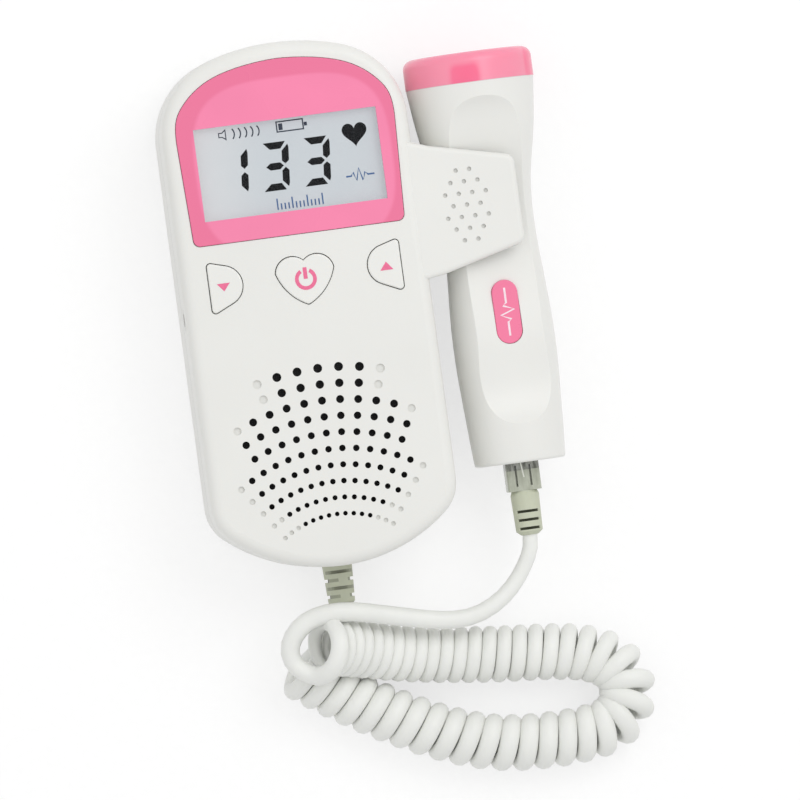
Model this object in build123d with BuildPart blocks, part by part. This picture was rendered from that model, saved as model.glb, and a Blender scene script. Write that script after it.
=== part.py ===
"""Hand-held fetal doppler: a main unit with a clip, and a probe on a curly cord.

The unit lies on its back. +Z leaves the display, +Y points to the display end and +X
to the probe. The origin is on the table, below the middle of the unit and the probe.
"""

import os
from math import cos, pi, radians, sin, sqrt, tan

from build123d import *

# ---- Driving sizes, millimetres ----

# Main unit
BODY_W = 63.4
BODY_L = 135.0
FOOT_H = 0.8
PARTING_Z = 17.0
FACE_Z = 33.0
CASE_WALL = 2.2
FACE_WALL = 2.4
TOP_ARC_R = 58.0
TOP_CORNER_R = 21.0
BOTTOM_ARC_R = 43.0
BOTTOM_CORNER_R = 11.0
FACE_EDGE_R = 3.0
BACK_EDGE_R = 5.0

# Display
BEZEL_TOP = 0.4679 * BODY_L
BEZEL_BOTTOM = 0.1337 * BODY_L
BEZEL_HALF_W = 0.4432 * BODY_W
BEZEL_FOOT_HALF_W = 0.4282 * BODY_W
BEZEL_WIDEST = 0.326 * BODY_L
BEZEL_T = 1.3
BEZEL_PROUD = 0.25
BEZEL_CORNER_R = 1.8
BEZEL_GAP = 0.15
WINDOW_W = 0.7445 * BODY_W
WINDOW_H = 0.1756 * BODY_L
WINDOW_Y = 0.2662 * BODY_L
LENS_LAP = 0.6
LENS_T = 1.2
LCD_T = 2.2
LCD_LAP = 2.2
BACKLIGHT_T = 2.4
HOLDER_WALL = 1.2

# Boards and switches
BOARD_W = BODY_W - 9.4
BOARD_LOW = -9.0
BOARD_T = 1.6
BOARD_Z = 20.6
BOARD_CORNER_R = 5.0
SWITCH_SIDE = 6.0
SWITCH_H = 3.5
PLUNGER_R = 1.7
PLUNGER_H = 0.7
BOARD_BOSS_R = 2.2
BOARD_SCREW_R = 1.0
BOARD_SCREW_HEAD_R = 2.0
BOARD_SCREW_HEAD_T = 1.1
BOARD_SCREW_GRIP = 5.5

# Buttons
BUTTON_PROUD = 0.6
BUTTON_GAP = 0.25
BUTTON_TRAVEL = 0.6
BUTTON_FLANGE = 0.9
BUTTON_FLANGE_T = 1.0
STEM_R = 1.8
HEART_W = 14.9
HEART_TOP = 12.3
HEART_NOTCH = 11.1
HEART_TIP = -0.1
HEART_WAIST = 3.9
HEART_TIP_R = 0.9
SIDE_BUTTON_OUT = 0.3904 * BODY_W
SIDE_BUTTON_H = 13.5
SIDE_BUTTON_Y = 6.9
SIDE_BUTTON_CORNER_R = 0.9
SIDE_BUTTON_NOSE = 18.0
SIDE_BUTTON_NOSE_RISE = 1.6
SIDE_BUTTON_NOSE_R = 5.1
SIDE_STEM_IN = 4.2
HEART_STEM_Y = 6.1
BUTTON_EDGE_R = 0.45

# Speaker and its fan of holes
FAN_Y = -0.5837 * BODY_L
FAN_FIRST_R = 24.6
FAN_STEP = 4.17
FAN_ANGLE = 4.95
FAN_SMALL_D = 1.2
FAN_LARGE_D = 2.3
FAN_OPEN = [4, 5, 6, 6, 6, 5, 5, 4, 2, 2]
FAN_BLIND = [[5, 6, 7], [6, 7], [7], [7], [7], [], [], [5], [3], [3]]
DIMPLE_DEPTH = 0.6
SPEAKER_R = 25.0
SPEAKER_RIM_T = 2.0
SPEAKER_DEPTH = 12.0
MAGNET_R = 11.0
MAGNET_T = 5.0
CONE_T = 0.6
CLOTH_T = 0.3
RIB_T = 1.4
RIB_H = 4.0

# Battery bay, for two AA cells side by side
CELL_D = 14.5
CELL_L = 49.5
CELL_NUB_D = 5.5
CELL_NUB_L = 1.0
CELL_GAP = 0.25
SPRING_ROOM = 7.2
BAY_Y = 0.2 * BODY_L
BAY_WALL = 1.4
DOOR_T = 2.0
DOOR_LAP = 1.5
DOOR_GAP = 0.2
TAB_W = 5.0
TAB_L = 1.4
TAB_T = 1.0
TAB_X = 9.0
LATCH_TONGUE_W = 14.0
LATCH_TONGUE_L = 8.0
LATCH_CUT_W = 0.8
RIDGE_L = 10.0
RIDGE_W = 0.7
RIDGE_PITCH = 2.0
RIDGE_DEPTH = 0.4
THUMB_NOTCH_W = 14.0
THUMB_NOTCH_L = 5.0
THUMB_NOTCH_DEPTH = 1.2
CONTACT_T = 0.4
CONTACT_SIDE = 11.0
SPRING_R = 3.6
SPRING_WIRE = 0.6
SPRING_TURNS = 4

# Case screws, feet and headphone socket
BOSS_R = 3.2
SCREW_R = 1.45
SCREW_HEAD_R = 2.7
SCREW_HEAD_T = 2.0
SCREW_SINK = 7.0
SCREW_L = 18.0
SCREW_CROSS_L = 3.2
SCREW_CROSS_W = 0.7
SCREW_CROSS_DEPTH = 1.2
FOOT_R = 3.5
FOOT_SINK = 0.6
JACK_BORE_R = 1.8
JACK_COLLAR_R = 2.7
JACK_W = 6.0
JACK_L = 14.0
JACK_Y = 0.0

# Probe
PROBE_Z = 17.8
CAP_R = 16.6
HEAD_GAP = 1.5
CAP_TOP = 58.6
CAP_FOOT = 50.8
CAP_EDGE_R = 2.6
CAP_FACE_T = 1.6
SPIGOT_L = 3.4
SPIGOT_T = 1.5
SEAL_R = 0.35
PROBE_FOOT = -47.5
PROBE_WALL = 2.0
PROBE_FOOT_R = 0.7048 * CAP_R
PROBE_FOOT_EDGE_R = 0.8
CRYSTAL_EDGE = 1.1
CRYSTAL_T = 1.2
CRYSTAL_SPLIT = 1.0
LABEL_W = 6.7
LABEL_L = 16.4
LABEL_Y = -8.7
LABEL_T = 0.7
LABEL_PROUD = 0.3
LABEL_FLOOR = 0.5723 * CAP_R
FACET_W = 1.3253 * CAP_R
FACET_TURN = 5.0
BACKING_T = 5.0
PROBE_BOARD_W = 12.0
PROBE_BOARD_END = 14.0
PROBE_BOARD_T = 1.2

# Clip that holds the probe's neck
CLIP_GAP = 0.35
CLIP_FACE_Z = 32.6
CLIP_BACK_Z = 1.4
CLIP_JAW_T = 2.6
CLIP_EDGE_R = 1.2
CLIP_CORNER_R = 2.4
CLIP_Y = 0.1465 * BODY_L
JAW_ROOT_L = 35.7
JAW_TIP_L = 22.4
JAW_REACH = 7.4
GRIP_D = 1.15
GRIP_PITCH_X = 3.5
GRIP_PITCH_Y = 3.0
GRIP_ROWS = [2, 3, 4, 3, 4, 3, 2]
GRIP_IN = 6.2

# Plug, socket and boot
PLUG_W = 8.65
PLUG_H = 6.5
PLUG_SEEN = 7.3
PLUG_IN = 10.0
LATCH_W = 3.2
LATCH_T = 0.9
SOCKET_W = 12.4
SOCKET_H = 10.6
SOCKET_L = 13.0
SOCKET_GAP = 0.2
CONTACT_COUNT = 4
CONTACT_PITCH = 1.27
SOCKET_PIN_L = 3.0
BOOT_L = 11.4
BOOT_R = 3.7
BOOT_END_R = 3.45
BOOT_GROOVE = 0.7
BOOT_GROOVES = 3
BOOT_GROOVE_PITCH = 2.2
BOOT_GROOVE_IN = 1.35

# Strain relief and cord
GLAND_Z = 10.0
GLAND_R = 3.88
GLAND_END_R = 3.45
GLAND_L = 10.0
GLAND_FLANGE_R = 5.4
GLAND_SLOT = 0.85
GLAND_SLOTS = 4
GLAND_SLOT_PITCH = 2.1
CORD_D = 4.2
COIL_D = 14.4
TABLE_GAP = 0.1
INNER_LEAD_D = 3.2

# ---- Places worked out from the sizes ----

PROBE_OFFSET = BODY_W / 2 + CAP_R + HEAD_GAP
UNIT_X = (BODY_W / 2 - PROBE_OFFSET - CAP_R) / 2
PROBE_X = UNIT_X + PROBE_OFFSET
INNER_FACE_Z = FACE_Z - FACE_WALL
FLOOR_Z = FOOT_H + CASE_WALL
BOARD_TOP = BOARD_Z + BOARD_T
SWITCH_TOP = BOARD_TOP + SWITCH_H + PLUNGER_H
STEM_Z = SWITCH_TOP + BUTTON_TRAVEL + 0.05
DOOR_TOP = FOOT_H + DOOR_T
CELL_Z = DOOR_TOP + CELL_GAP + CELL_D / 2
BAY_W = 2 * CELL_D + 4 * CELL_GAP
BAY_L = CELL_L + CELL_NUB_L + SPRING_ROOM + 2 * CONTACT_T
BAY_LOW = BAY_Y - BAY_L / 2
BAY_HIGH = BAY_Y + BAY_L / 2
BAY_TOP = CELL_Z + CELL_D / 2 + CELL_GAP
DOOR_W = BAY_W + 2 * DOOR_LAP
DOOR_LOW = BAY_LOW - DOOR_LAP
DOOR_HIGH = BAY_HIGH + DOOR_LAP
PLUG_END = PROBE_FOOT - PLUG_SEEN
BOOT_END = PLUG_END - BOOT_L
GLAND_END = -BODY_L / 2 - GLAND_L
COIL_Z = COIL_D / 2 + TABLE_GAP
SPEAKER_Y = FAN_Y + FAN_FIRST_R + (len(FAN_OPEN) - 1) / 2 * FAN_STEP
HOLDER_W = WINDOW_W + 2 * LCD_LAP
HOLDER_H = WINDOW_H + 2 * LCD_LAP
HOLDER_LOW = WINDOW_Y - HOLDER_H / 2
TOP_BOARD_SCREW_Y = WINDOW_Y + HOLDER_H / 2 + BOARD_BOSS_R + 0.55
BOARD_HIGH = TOP_BOARD_SCREW_Y + 2.3
JAW_TIP_X = PROBE_OFFSET + JAW_REACH
JAW_ROOT_HIGH = CLIP_Y + JAW_ROOT_L / 2
JAW_ROOT_LOW = CLIP_Y - JAW_ROOT_L / 2
TOP_SCREW_Y = 0.4319 * BODY_L
LOW_SCREW_Y = -0.417 * BODY_L
FOOT_X = DOOR_W / 2 + FOOT_R + 2.3
FOOT_Y = 0.3111 * BODY_L
SCREW_PLACES = [(-20.0, TOP_SCREW_Y), (20.0, TOP_SCREW_Y), (-21.2, LOW_SCREW_Y), (21.2, LOW_SCREW_Y)]
BOARD_SCREW_PLACES = [
    (-12.0, TOP_BOARD_SCREW_Y),
    (12.0, TOP_BOARD_SCREW_Y),
    (3.5 - BOARD_W / 2, BOARD_LOW + 2.8),
    (BOARD_W / 2 - 3.5, BOARD_LOW + 2.8),
]
FOOT_PLACES = [(-FOOT_X, FOOT_Y), (FOOT_X, FOOT_Y), (-FOOT_X, -FOOT_Y), (FOOT_X, -FOOT_Y)]

# Probe silhouette: radius and place along its axis, from the head down to the foot
PROBE_PROFILE = [
    (CAP_R - 0.1, CAP_FOOT),
    (0.8976 * CAP_R, 38.0),
    (0.753 * CAP_R, 25.5),
    (0.7139 * CAP_R, 12.0),
    (0.759 * CAP_R, -2.0),
    (0.7952 * CAP_R, -17.0),
    (0.753 * CAP_R, -34.8),
    (PROBE_FOOT_R, PROBE_FOOT),
]
# Floor of the front facet: place along the axis and height above the axis
FACET_FLOOR = [
    (48.0, CAP_R + 0.6),
    (44.0, 0.8375 * CAP_R),
    (38.0, 0.7048 * CAP_R),
    (28.0, 0.5543 * CAP_R),
    (12.0, 0.491 * CAP_R),
    (-4.0, 0.5543 * CAP_R),
    (-17.0, 0.5963 * CAP_R),
    (-28.6, 0.5602 * CAP_R),
    (-34.0, 0.6265 * CAP_R),
    (-38.6, 0.7952 * CAP_R),
]


# ---- Shared planes and shapes ----


def unit_plane(height):
    """Plane parallel to the table, centred on the main unit."""
    return Plane(origin=(UNIT_X, 0, height), x_dir=(1, 0, 0), z_dir=(0, 0, 1))


def probe_plane(height):
    """Plane parallel to the table, centred on the probe."""
    return Plane(origin=(PROBE_X, 0, height), x_dir=(1, 0, 0), z_dir=(0, 0, 1))


def across_unit(place, height):
    """Plane square to the unit's length, with +Z of the part as its second axis."""
    return Plane(origin=(UNIT_X, place, height), x_dir=(1, 0, 0), z_dir=(0, -1, 0))


def across_probe(place):
    """Plane square to the probe's axis; its normal points to the cord."""
    return Plane(origin=(PROBE_X, place, PROBE_Z), x_dir=(1, 0, 0), z_dir=(0, -1, 0))


PROBE_AXIS = Axis((PROBE_X, 0, PROBE_Z), (0, 1, 0))
BESIDE_PROBE = Plane(origin=(PROBE_X, 0, PROBE_Z), x_dir=(0, 1, 0), z_dir=(1, 0, 0))

# The probe lies turned a little about its axis, so its facet leans away from the unit.
FACET_UP = Vector(sin(radians(FACET_TURN)), 0, cos(radians(FACET_TURN)))
FACET_OUT = Vector(cos(radians(FACET_TURN)), 0, -sin(radians(FACET_TURN)))
BESIDE_FACET = Plane(origin=(PROBE_X, 0, PROBE_Z), x_dir=(0, 1, 0), z_dir=FACET_OUT)


def facet_plane(height):
    """Plane parallel to the facet, at a height above the probe's axis."""
    return Plane(origin=Vector(PROBE_X, 0, PROBE_Z) + FACET_UP * height, x_dir=FACET_OUT,
                 z_dir=FACET_UP)


def case_outline(inset=0.0):
    """Outline of the unit: shallow arcs at both ends, straight sides, round corners."""
    half = BODY_W / 2
    top_side = BODY_L / 2 - TOP_ARC_R + sqrt(TOP_ARC_R**2 - half**2)
    low_side = BOTTOM_ARC_R - BODY_L / 2 - sqrt(BOTTOM_ARC_R**2 - half**2)
    with BuildSketch() as outline:
        with BuildLine():
            ThreePointArc((-half, top_side), (0, BODY_L / 2), (half, top_side))
            Line((half, top_side), (half, low_side))
            ThreePointArc((half, low_side), (0, -BODY_L / 2), (-half, low_side))
            Line((-half, low_side), (-half, top_side))
        make_face()
        fillet(outline.vertices().group_by(Axis.Y)[-1], TOP_CORNER_R)
        fillet(outline.vertices().group_by(Axis.Y)[0], BOTTOM_CORNER_R)
        if inset:
            offset(amount=-inset)
    return outline.sketch


def bezel_outline(grow=0.0):
    """Arched outline of the pink frame, widest above the middle of the display."""
    half = BEZEL_HALF_W + grow
    foot_half = BEZEL_FOOT_HALF_W + grow
    top = BEZEL_TOP + grow
    low = BEZEL_BOTTOM - grow
    lean = BEZEL_HALF_W - BEZEL_FOOT_HALF_W
    rise = BEZEL_WIDEST - BEZEL_BOTTOM
    arch = top - BEZEL_WIDEST
    with BuildSketch() as outline:
        with BuildLine():
            Line((0, low), (foot_half, low))
            Line((foot_half, low), (half, BEZEL_WIDEST))
            Spline(
                (half, BEZEL_WIDEST),
                (0.983 * half, BEZEL_WIDEST + 0.32 * arch),
                (0.892 * half, BEZEL_WIDEST + 0.55 * arch),
                (0.6 * half, BEZEL_WIDEST + 0.85 * arch),
                (0, top),
                tangents=[(lean, rise), (-1, 0)],
                tangent_scalars=[0.5, 0.5],
            )
            mirror(about=Plane.YZ)
        make_face()
        fillet(outline.vertices().group_by(Axis.Y)[0].filter_by(lambda corner: abs(corner.X) > 1.0),
               BEZEL_CORNER_R)
    return outline.sketch


def heart_outline(grow=0.0):
    """Heart with a shallow notch and a rounded tip, drawn larger all round by grow."""
    half = HEART_W / 2 + grow
    top = HEART_TOP + grow
    shoulder = HEART_TOP - HEART_W / 4
    waist = HEART_WAIST - 0.5 * grow
    with BuildSketch() as outline:
        with BuildLine():
            for side in (-1, 1):
                ThreePointArc((0, HEART_NOTCH + grow), (side * 0.54 * half, top), (side * half, shoulder))
                ThreePointArc((side * half, shoulder), (side * 0.68 * half, waist), (0, HEART_TIP - grow))
        make_face()
        fillet(outline.vertices().group_by(Axis.Y)[0], HEART_TIP_R)
    return outline.sketch


def side_button_outline(side, grow=0.0):
    """D-shaped button: straight edge outwards, round nose to the middle."""
    out = side * SIDE_BUTTON_OUT
    nose = side * (SIDE_BUTTON_OUT - SIDE_BUTTON_NOSE)
    low = SIDE_BUTTON_Y - SIDE_BUTTON_H / 2
    high = SIDE_BUTTON_Y + SIDE_BUTTON_H / 2
    with BuildSketch() as outline:
        with BuildLine():
            Polyline((out, low), (out, high), (nose, SIDE_BUTTON_Y + SIDE_BUTTON_NOSE_RISE), close=True)
        make_face()
        fillet(outline.vertices().sort_by(lambda corner: abs(corner.X))[0], SIDE_BUTTON_NOSE_R)
        fillet(outline.vertices().filter_by(lambda corner: abs(corner.X - out) < 0.01),
               SIDE_BUTTON_CORNER_R)
        if grow:
            offset(amount=grow)
    return outline.sketch


def fan_places(row, columns):
    """Points of one curved row of the speaker's fan, symmetric about the middle."""
    radius = FAN_FIRST_R + row * FAN_STEP
    places = []
    for column in columns:
        turn = radians(FAN_ANGLE * column)
        places.append((radius * sin(turn), FAN_Y + radius * cos(turn)))
    return places


def fan_sketch(blind):
    """Circles of the speaker's fan, either the open holes or the blind dimples."""
    rows = len(FAN_OPEN)
    with BuildSketch() as fan:
        for row in range(rows):
            hole_d = FAN_SMALL_D + (FAN_LARGE_D - FAN_SMALL_D) * row / (rows - 1)
            if blind:
                columns = [side * c for c in FAN_BLIND[row] for side in (-1, 1)]
            else:
                columns = range(-FAN_OPEN[row], FAN_OPEN[row] + 1)
            places = fan_places(row, columns)
            if places:
                with Locations(*places):
                    Circle(hole_d / 2)
    return fan.sketch


def profile_points(inset):
    """The probe's silhouette, drawn inset, as pairs of radius and place."""
    return [(radius - inset, place) for radius, place in PROBE_PROFILE]


def probe_slice(low, high):
    """Block that holds the part of the probe between two places along its axis."""
    with BuildPart() as block:
        with Locations((PROBE_X, (low + high) / 2, PROBE_Z)):
            Box(4 * CAP_R, high - low, 4 * CAP_R)
    return block.part


def probe_revolved(inset, low, high):
    """The probe's turned shape, drawn inset and cut off at two places along its axis."""
    points = profile_points(inset)
    end_block = probe_slice(low, high)
    with BuildPart() as turned:
        with BuildSketch(probe_plane(PROBE_Z)):
            with BuildLine():
                Spline(*points, tangents=[(-0.12, -1), (-0.08, -1)])
                Line(points[-1], (0, points[-1][1]))
                Line((0, points[-1][1]), (0, points[0][1]))
                Line((0, points[0][1]), points[0])
            make_face()
        revolve(axis=PROBE_AXIS, revolution_arc=360)
        add(end_block, mode=Mode.INTERSECT)
    return turned.part


def clip_channel(low, high):
    """Room for the probe's neck, drawn out sideways for the way out of the clip."""
    neck = probe_revolved(-CLIP_GAP, low, high)
    with BuildPart() as channel:
        add(neck)
        split(bisect_by=BESIDE_PROBE, keep=Keep.BOTTOM)
        extrude(channel.faces().sort_by(Axis.X)[-1], amount=2 * CAP_R)
    return channel.part


def facet_cutter(inset):
    """Solid that lies over the facet's floor, drawn inset from it."""
    points = [(place, height - inset) for place, height in FACET_FLOOR]
    top = CAP_R + 2.0
    with BuildPart() as cutter:
        with BuildSketch(BESIDE_FACET):
            with BuildLine():
                Spline(*points)
                Polyline(points[-1], (points[-1][0], top), (points[0][0], top), points[0])
            make_face()
        extrude(amount=FACET_W / 2, both=True)
    return cutter.part


def rounded_path(points):
    """Straight runs joined by tangent arcs, each as large as its two runs allow."""
    corners = [Vector(*point) for point in points]
    radii = []
    for before, corner, after in zip(corners, corners[1:], corners[2:]):
        arriving = corner - before
        leaving = after - corner
        turn = radians(arriving.get_angle(leaving))
        radii.append(0.45 * min(arriving.length, leaving.length) / tan(turn / 2))
    return FilletPolyline(*points, radius=radii), radii


def cord_solid(name, points, diameter):
    """Round solid along a route given from the unit's middle."""
    shifted = [(x + UNIT_X, y, z) for x, y, z in points]
    with BuildPart() as solid:
        with BuildLine() as route:
            path, radii = rounded_path(shifted)
        start = Vector(*shifted[0])
        heading = Vector(*shifted[1]) - start
        with BuildSketch(Plane(origin=start, z_dir=heading)):
            Circle(diameter / 2)
        sweep(path=path)
    expected = pi * diameter**2 / 4 * path.length
    print(name, "length", round(path.length, 1), "least radius", round(min(radii), 1),
          "volume ratio", round(solid.part.volume / expected, 4))
    return solid.part


def finish(part, name):
    """Name one piece and write it."""
    part.label = name
    export_step(part, f"parts/{name}.step")


os.makedirs("parts", exist_ok=True)

# ---- Front shell ----

# Room for the probe's neck, and its way out towards +X, under the front jaw
channel_shape = clip_channel(JAW_ROOT_LOW - 3.0, JAW_ROOT_HIGH + 3.0)
with BuildPart() as channel_room:
    add(channel_shape)
    split(bisect_by=unit_plane(CLIP_FACE_Z - CLIP_JAW_T), keep=Keep.BOTTOM)

# Jaw outline: it leaves the unit's side, narrows to the tip and has a round outer end.
with BuildSketch() as jaw_outline:
    with BuildLine():
        Polyline(
            (BODY_W / 2 - CASE_WALL, JAW_ROOT_HIGH + 0.6),
            (BODY_W / 2 + 4.0, JAW_ROOT_HIGH - 1.6),
            (JAW_TIP_X, CLIP_Y + JAW_TIP_L / 2),
            (JAW_TIP_X, CLIP_Y - JAW_TIP_L / 2),
            (BODY_W / 2 + 4.0, JAW_ROOT_LOW + 0.9),
            (BODY_W / 2 - CASE_WALL, JAW_ROOT_LOW),
            close=True,
        )
    make_face()
    fillet(jaw_outline.vertices().group_by(Axis.X)[-1], CLIP_CORNER_R)

with BuildPart() as front_case:
    with BuildSketch(unit_plane(PARTING_Z)):
        add(case_outline())
    extrude(amount=FACE_Z - PARTING_Z)
    fillet(front_case.faces().sort_by(Axis.Z)[-1].edges(), FACE_EDGE_R)
    # Jaw of the clip, with a soft outer edge
    with BuildSketch(unit_plane(PARTING_Z)):
        add(jaw_outline.sketch)
    extrude(amount=CLIP_FACE_Z - PARTING_Z)
    jaw_top = front_case.faces().filter_by(lambda face: abs(face.center().Z - CLIP_FACE_Z) < 0.01)
    fillet(jaw_top.edges().filter_by(lambda edge: edge.center().X > UNIT_X + BODY_W / 2),
           CLIP_EDGE_R)
    # Hollow, then the ribs and bosses that stand in it
    with BuildSketch(unit_plane(PARTING_Z)):
        add(case_outline(CASE_WALL))
    extrude(amount=INNER_FACE_Z - PARTING_Z, mode=Mode.SUBTRACT)
    with BuildSketch(unit_plane(INNER_FACE_Z)):
        with Locations((0, SPEAKER_Y)):
            Circle(SPEAKER_R + 0.3 + RIB_T)
            Circle(SPEAKER_R + 0.3, mode=Mode.SUBTRACT)
    extrude(amount=-RIB_H)
    with BuildSketch(unit_plane(PARTING_Z)):
        with Locations(*SCREW_PLACES):
            Circle(BOSS_R)
    extrude(amount=INNER_FACE_Z - PARTING_Z)
    with BuildSketch(unit_plane(BOARD_TOP)):
        with Locations(*BOARD_SCREW_PLACES):
            Circle(BOARD_BOSS_R)
    extrude(amount=INNER_FACE_Z - BOARD_TOP)
    with BuildSketch(unit_plane(PARTING_Z)):
        with Locations(*SCREW_PLACES):
            Circle(SCREW_R + 0.03)
    extrude(amount=FOOT_H + SCREW_SINK + SCREW_L - PARTING_Z + 0.5, mode=Mode.SUBTRACT)
    with BuildSketch(unit_plane(BOARD_TOP)):
        with Locations(*BOARD_SCREW_PLACES):
            Circle(BOARD_SCREW_R + 0.03)
    extrude(amount=BOARD_SCREW_GRIP + 0.5, mode=Mode.SUBTRACT)
    # Seat of the pink frame, with the display's opening through it
    with BuildSketch(unit_plane(FACE_Z)):
        add(bezel_outline(BEZEL_GAP))
    extrude(amount=-(BEZEL_T - BEZEL_PROUD), mode=Mode.SUBTRACT)
    with BuildSketch(unit_plane(FACE_Z)):
        with Locations((0, WINDOW_Y)):
            Rectangle(WINDOW_W + 2 * LENS_LAP + 0.2, WINDOW_H + 2 * LENS_LAP + 0.2)
    extrude(amount=-FACE_WALL, mode=Mode.SUBTRACT)
    # Button holes
    with BuildSketch(unit_plane(FACE_Z)):
        add(heart_outline(BUTTON_GAP))
        add(side_button_outline(-1, BUTTON_GAP))
        add(side_button_outline(1, BUTTON_GAP))
    extrude(amount=-FACE_WALL, mode=Mode.SUBTRACT)
    # Speaker holes and the blind dimples round them
    with BuildSketch(unit_plane(FACE_Z)):
        add(fan_sketch(blind=False))
    extrude(amount=-FACE_WALL, mode=Mode.SUBTRACT)
    with BuildSketch(unit_plane(FACE_Z)):
        add(fan_sketch(blind=True))
    extrude(amount=-DIMPLE_DEPTH, mode=Mode.SUBTRACT)
    # Headphone socket's hole through the side wall
    with BuildSketch(Plane(origin=(UNIT_X - BODY_W / 2, JACK_Y, BOARD_TOP + JACK_W / 2),
                           x_dir=(0, 1, 0), z_dir=(1, 0, 0))):
        Circle(JACK_COLLAR_R + 0.1)
    extrude(amount=CASE_WALL + 1.0, both=True, mode=Mode.SUBTRACT)
    # Channel for the probe, and the grip dimples on the jaw
    add(channel_room.part, mode=Mode.SUBTRACT)
    with BuildSketch(unit_plane(CLIP_FACE_Z)):
        for row, count in enumerate(GRIP_ROWS):
            row_y = CLIP_Y + (row - (len(GRIP_ROWS) - 1) / 2) * GRIP_PITCH_Y
            with Locations((PROBE_OFFSET - GRIP_IN, row_y)):
                with GridLocations(GRIP_PITCH_X, GRIP_PITCH_Y, count, 1):
                    Circle(GRIP_D / 2)
    extrude(amount=-DIMPLE_DEPTH, mode=Mode.SUBTRACT)
finish(front_case.part, "front_case")

# ---- Rear shell ----

with BuildPart() as rear_case:
    with BuildSketch(unit_plane(FOOT_H)):
        add(case_outline())
    extrude(amount=PARTING_Z - FOOT_H)
    fillet(rear_case.faces().sort_by(Axis.Z)[0].edges(), BACK_EDGE_R)
    with BuildSketch(unit_plane(CLIP_BACK_Z)):
        add(jaw_outline.sketch)
    extrude(amount=PARTING_Z - CLIP_BACK_Z)
    with BuildSketch(unit_plane(FLOOR_Z)):
        add(case_outline(CASE_WALL))
    extrude(amount=PARTING_Z - FLOOR_Z, mode=Mode.SUBTRACT)
    # Walls and roof of the battery bay
    with BuildSketch(unit_plane(FLOOR_Z)):
        with Locations((0, BAY_Y)):
            Rectangle(BAY_W + 2 * BAY_WALL, BAY_L + 2 * BAY_WALL)
    extrude(amount=BAY_TOP + BAY_WALL - FLOOR_Z)
    with BuildSketch(unit_plane(FLOOR_Z)):
        with Locations(*SCREW_PLACES):
            Circle(BOSS_R)
    extrude(amount=PARTING_Z - FLOOR_Z)
    with BuildSketch(unit_plane(FOOT_H)):
        with Locations((0, BAY_Y)):
            Rectangle(BAY_W, BAY_L)
    extrude(amount=BAY_TOP - FOOT_H, mode=Mode.SUBTRACT)
    # Recess of the door, slots for its two tabs, and the thumb notch at its latch
    with BuildSketch(unit_plane(FOOT_H)):
        with Locations((0, BAY_Y)):
            Rectangle(DOOR_W + 2 * DOOR_GAP, DOOR_HIGH - DOOR_LOW + 2 * DOOR_GAP)
    extrude(amount=DOOR_T + 0.05, mode=Mode.SUBTRACT)
    with BuildSketch(unit_plane(DOOR_TOP - TAB_T - 0.1)):
        with Locations((-TAB_X, DOOR_HIGH), (TAB_X, DOOR_HIGH)):
            Rectangle(TAB_W + 0.6, 2 * TAB_L + 1.2)
    extrude(amount=TAB_T + TAB_L + 1.6, mode=Mode.SUBTRACT)
    with BuildSketch(unit_plane(FOOT_H)):
        with Locations((0, DOOR_LOW - 1.0)):
            SlotOverall(THUMB_NOTCH_W, THUMB_NOTCH_L)
    extrude(amount=THUMB_NOTCH_DEPTH, mode=Mode.SUBTRACT)
    # Screw holes, foot recesses and the strain relief's hole
    with BuildSketch(unit_plane(FOOT_H)):
        with Locations(*SCREW_PLACES):
            Circle(SCREW_HEAD_R + 0.3)
    extrude(amount=SCREW_SINK, mode=Mode.SUBTRACT)
    with BuildSketch(unit_plane(FOOT_H)):
        with Locations(*SCREW_PLACES):
            Circle(SCREW_R + 0.15)
    extrude(amount=PARTING_Z - FOOT_H, mode=Mode.SUBTRACT)
    with BuildSketch(unit_plane(FOOT_H)):
        with Locations(*FOOT_PLACES):
            Circle(FOOT_R + 0.1)
    extrude(amount=FOOT_SINK, mode=Mode.SUBTRACT)
    with BuildSketch(across_unit(-BODY_L / 2 - 1.0, GLAND_Z)):
        Circle(GLAND_R + 0.05)
    extrude(amount=-(CASE_WALL + 2.0), mode=Mode.SUBTRACT)
    add(channel_room.part, mode=Mode.SUBTRACT)
finish(rear_case.part, "rear_case")

# ---- Battery door, cells and contacts ----

with BuildPart() as battery_door:
    with BuildSketch(unit_plane(FOOT_H)):
        with Locations((0, BAY_Y)):
            RectangleRounded(DOOR_W, DOOR_HIGH - DOOR_LOW, 0.8)
    extrude(amount=DOOR_T)
    with BuildSketch(unit_plane(DOOR_TOP - TAB_T)):
        with Locations((-TAB_X, DOOR_HIGH), (TAB_X, DOOR_HIGH)):
            Rectangle(TAB_W, 2 * TAB_L)
    extrude(amount=TAB_T)
    # Tongue of the latch, cut free on three sides
    with BuildSketch(unit_plane(FOOT_H)):
        with Locations((0, DOOR_LOW + LATCH_TONGUE_L / 2 + 1.0)):
            with GridLocations(LATCH_TONGUE_W, 1.0, 2, 1):
                Rectangle(LATCH_CUT_W, LATCH_TONGUE_L)
    extrude(amount=DOOR_T, mode=Mode.SUBTRACT)
    # Finger ridges near the latch
    with BuildSketch(unit_plane(FOOT_H)):
        with Locations((0, DOOR_LOW + LATCH_TONGUE_L / 2 + 2.0)):
            with GridLocations(1.0, RIDGE_PITCH, 1, 4):
                Rectangle(RIDGE_L, RIDGE_W)
    extrude(amount=RIDGE_DEPTH, mode=Mode.SUBTRACT)
finish(battery_door.part, "battery_door")

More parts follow.
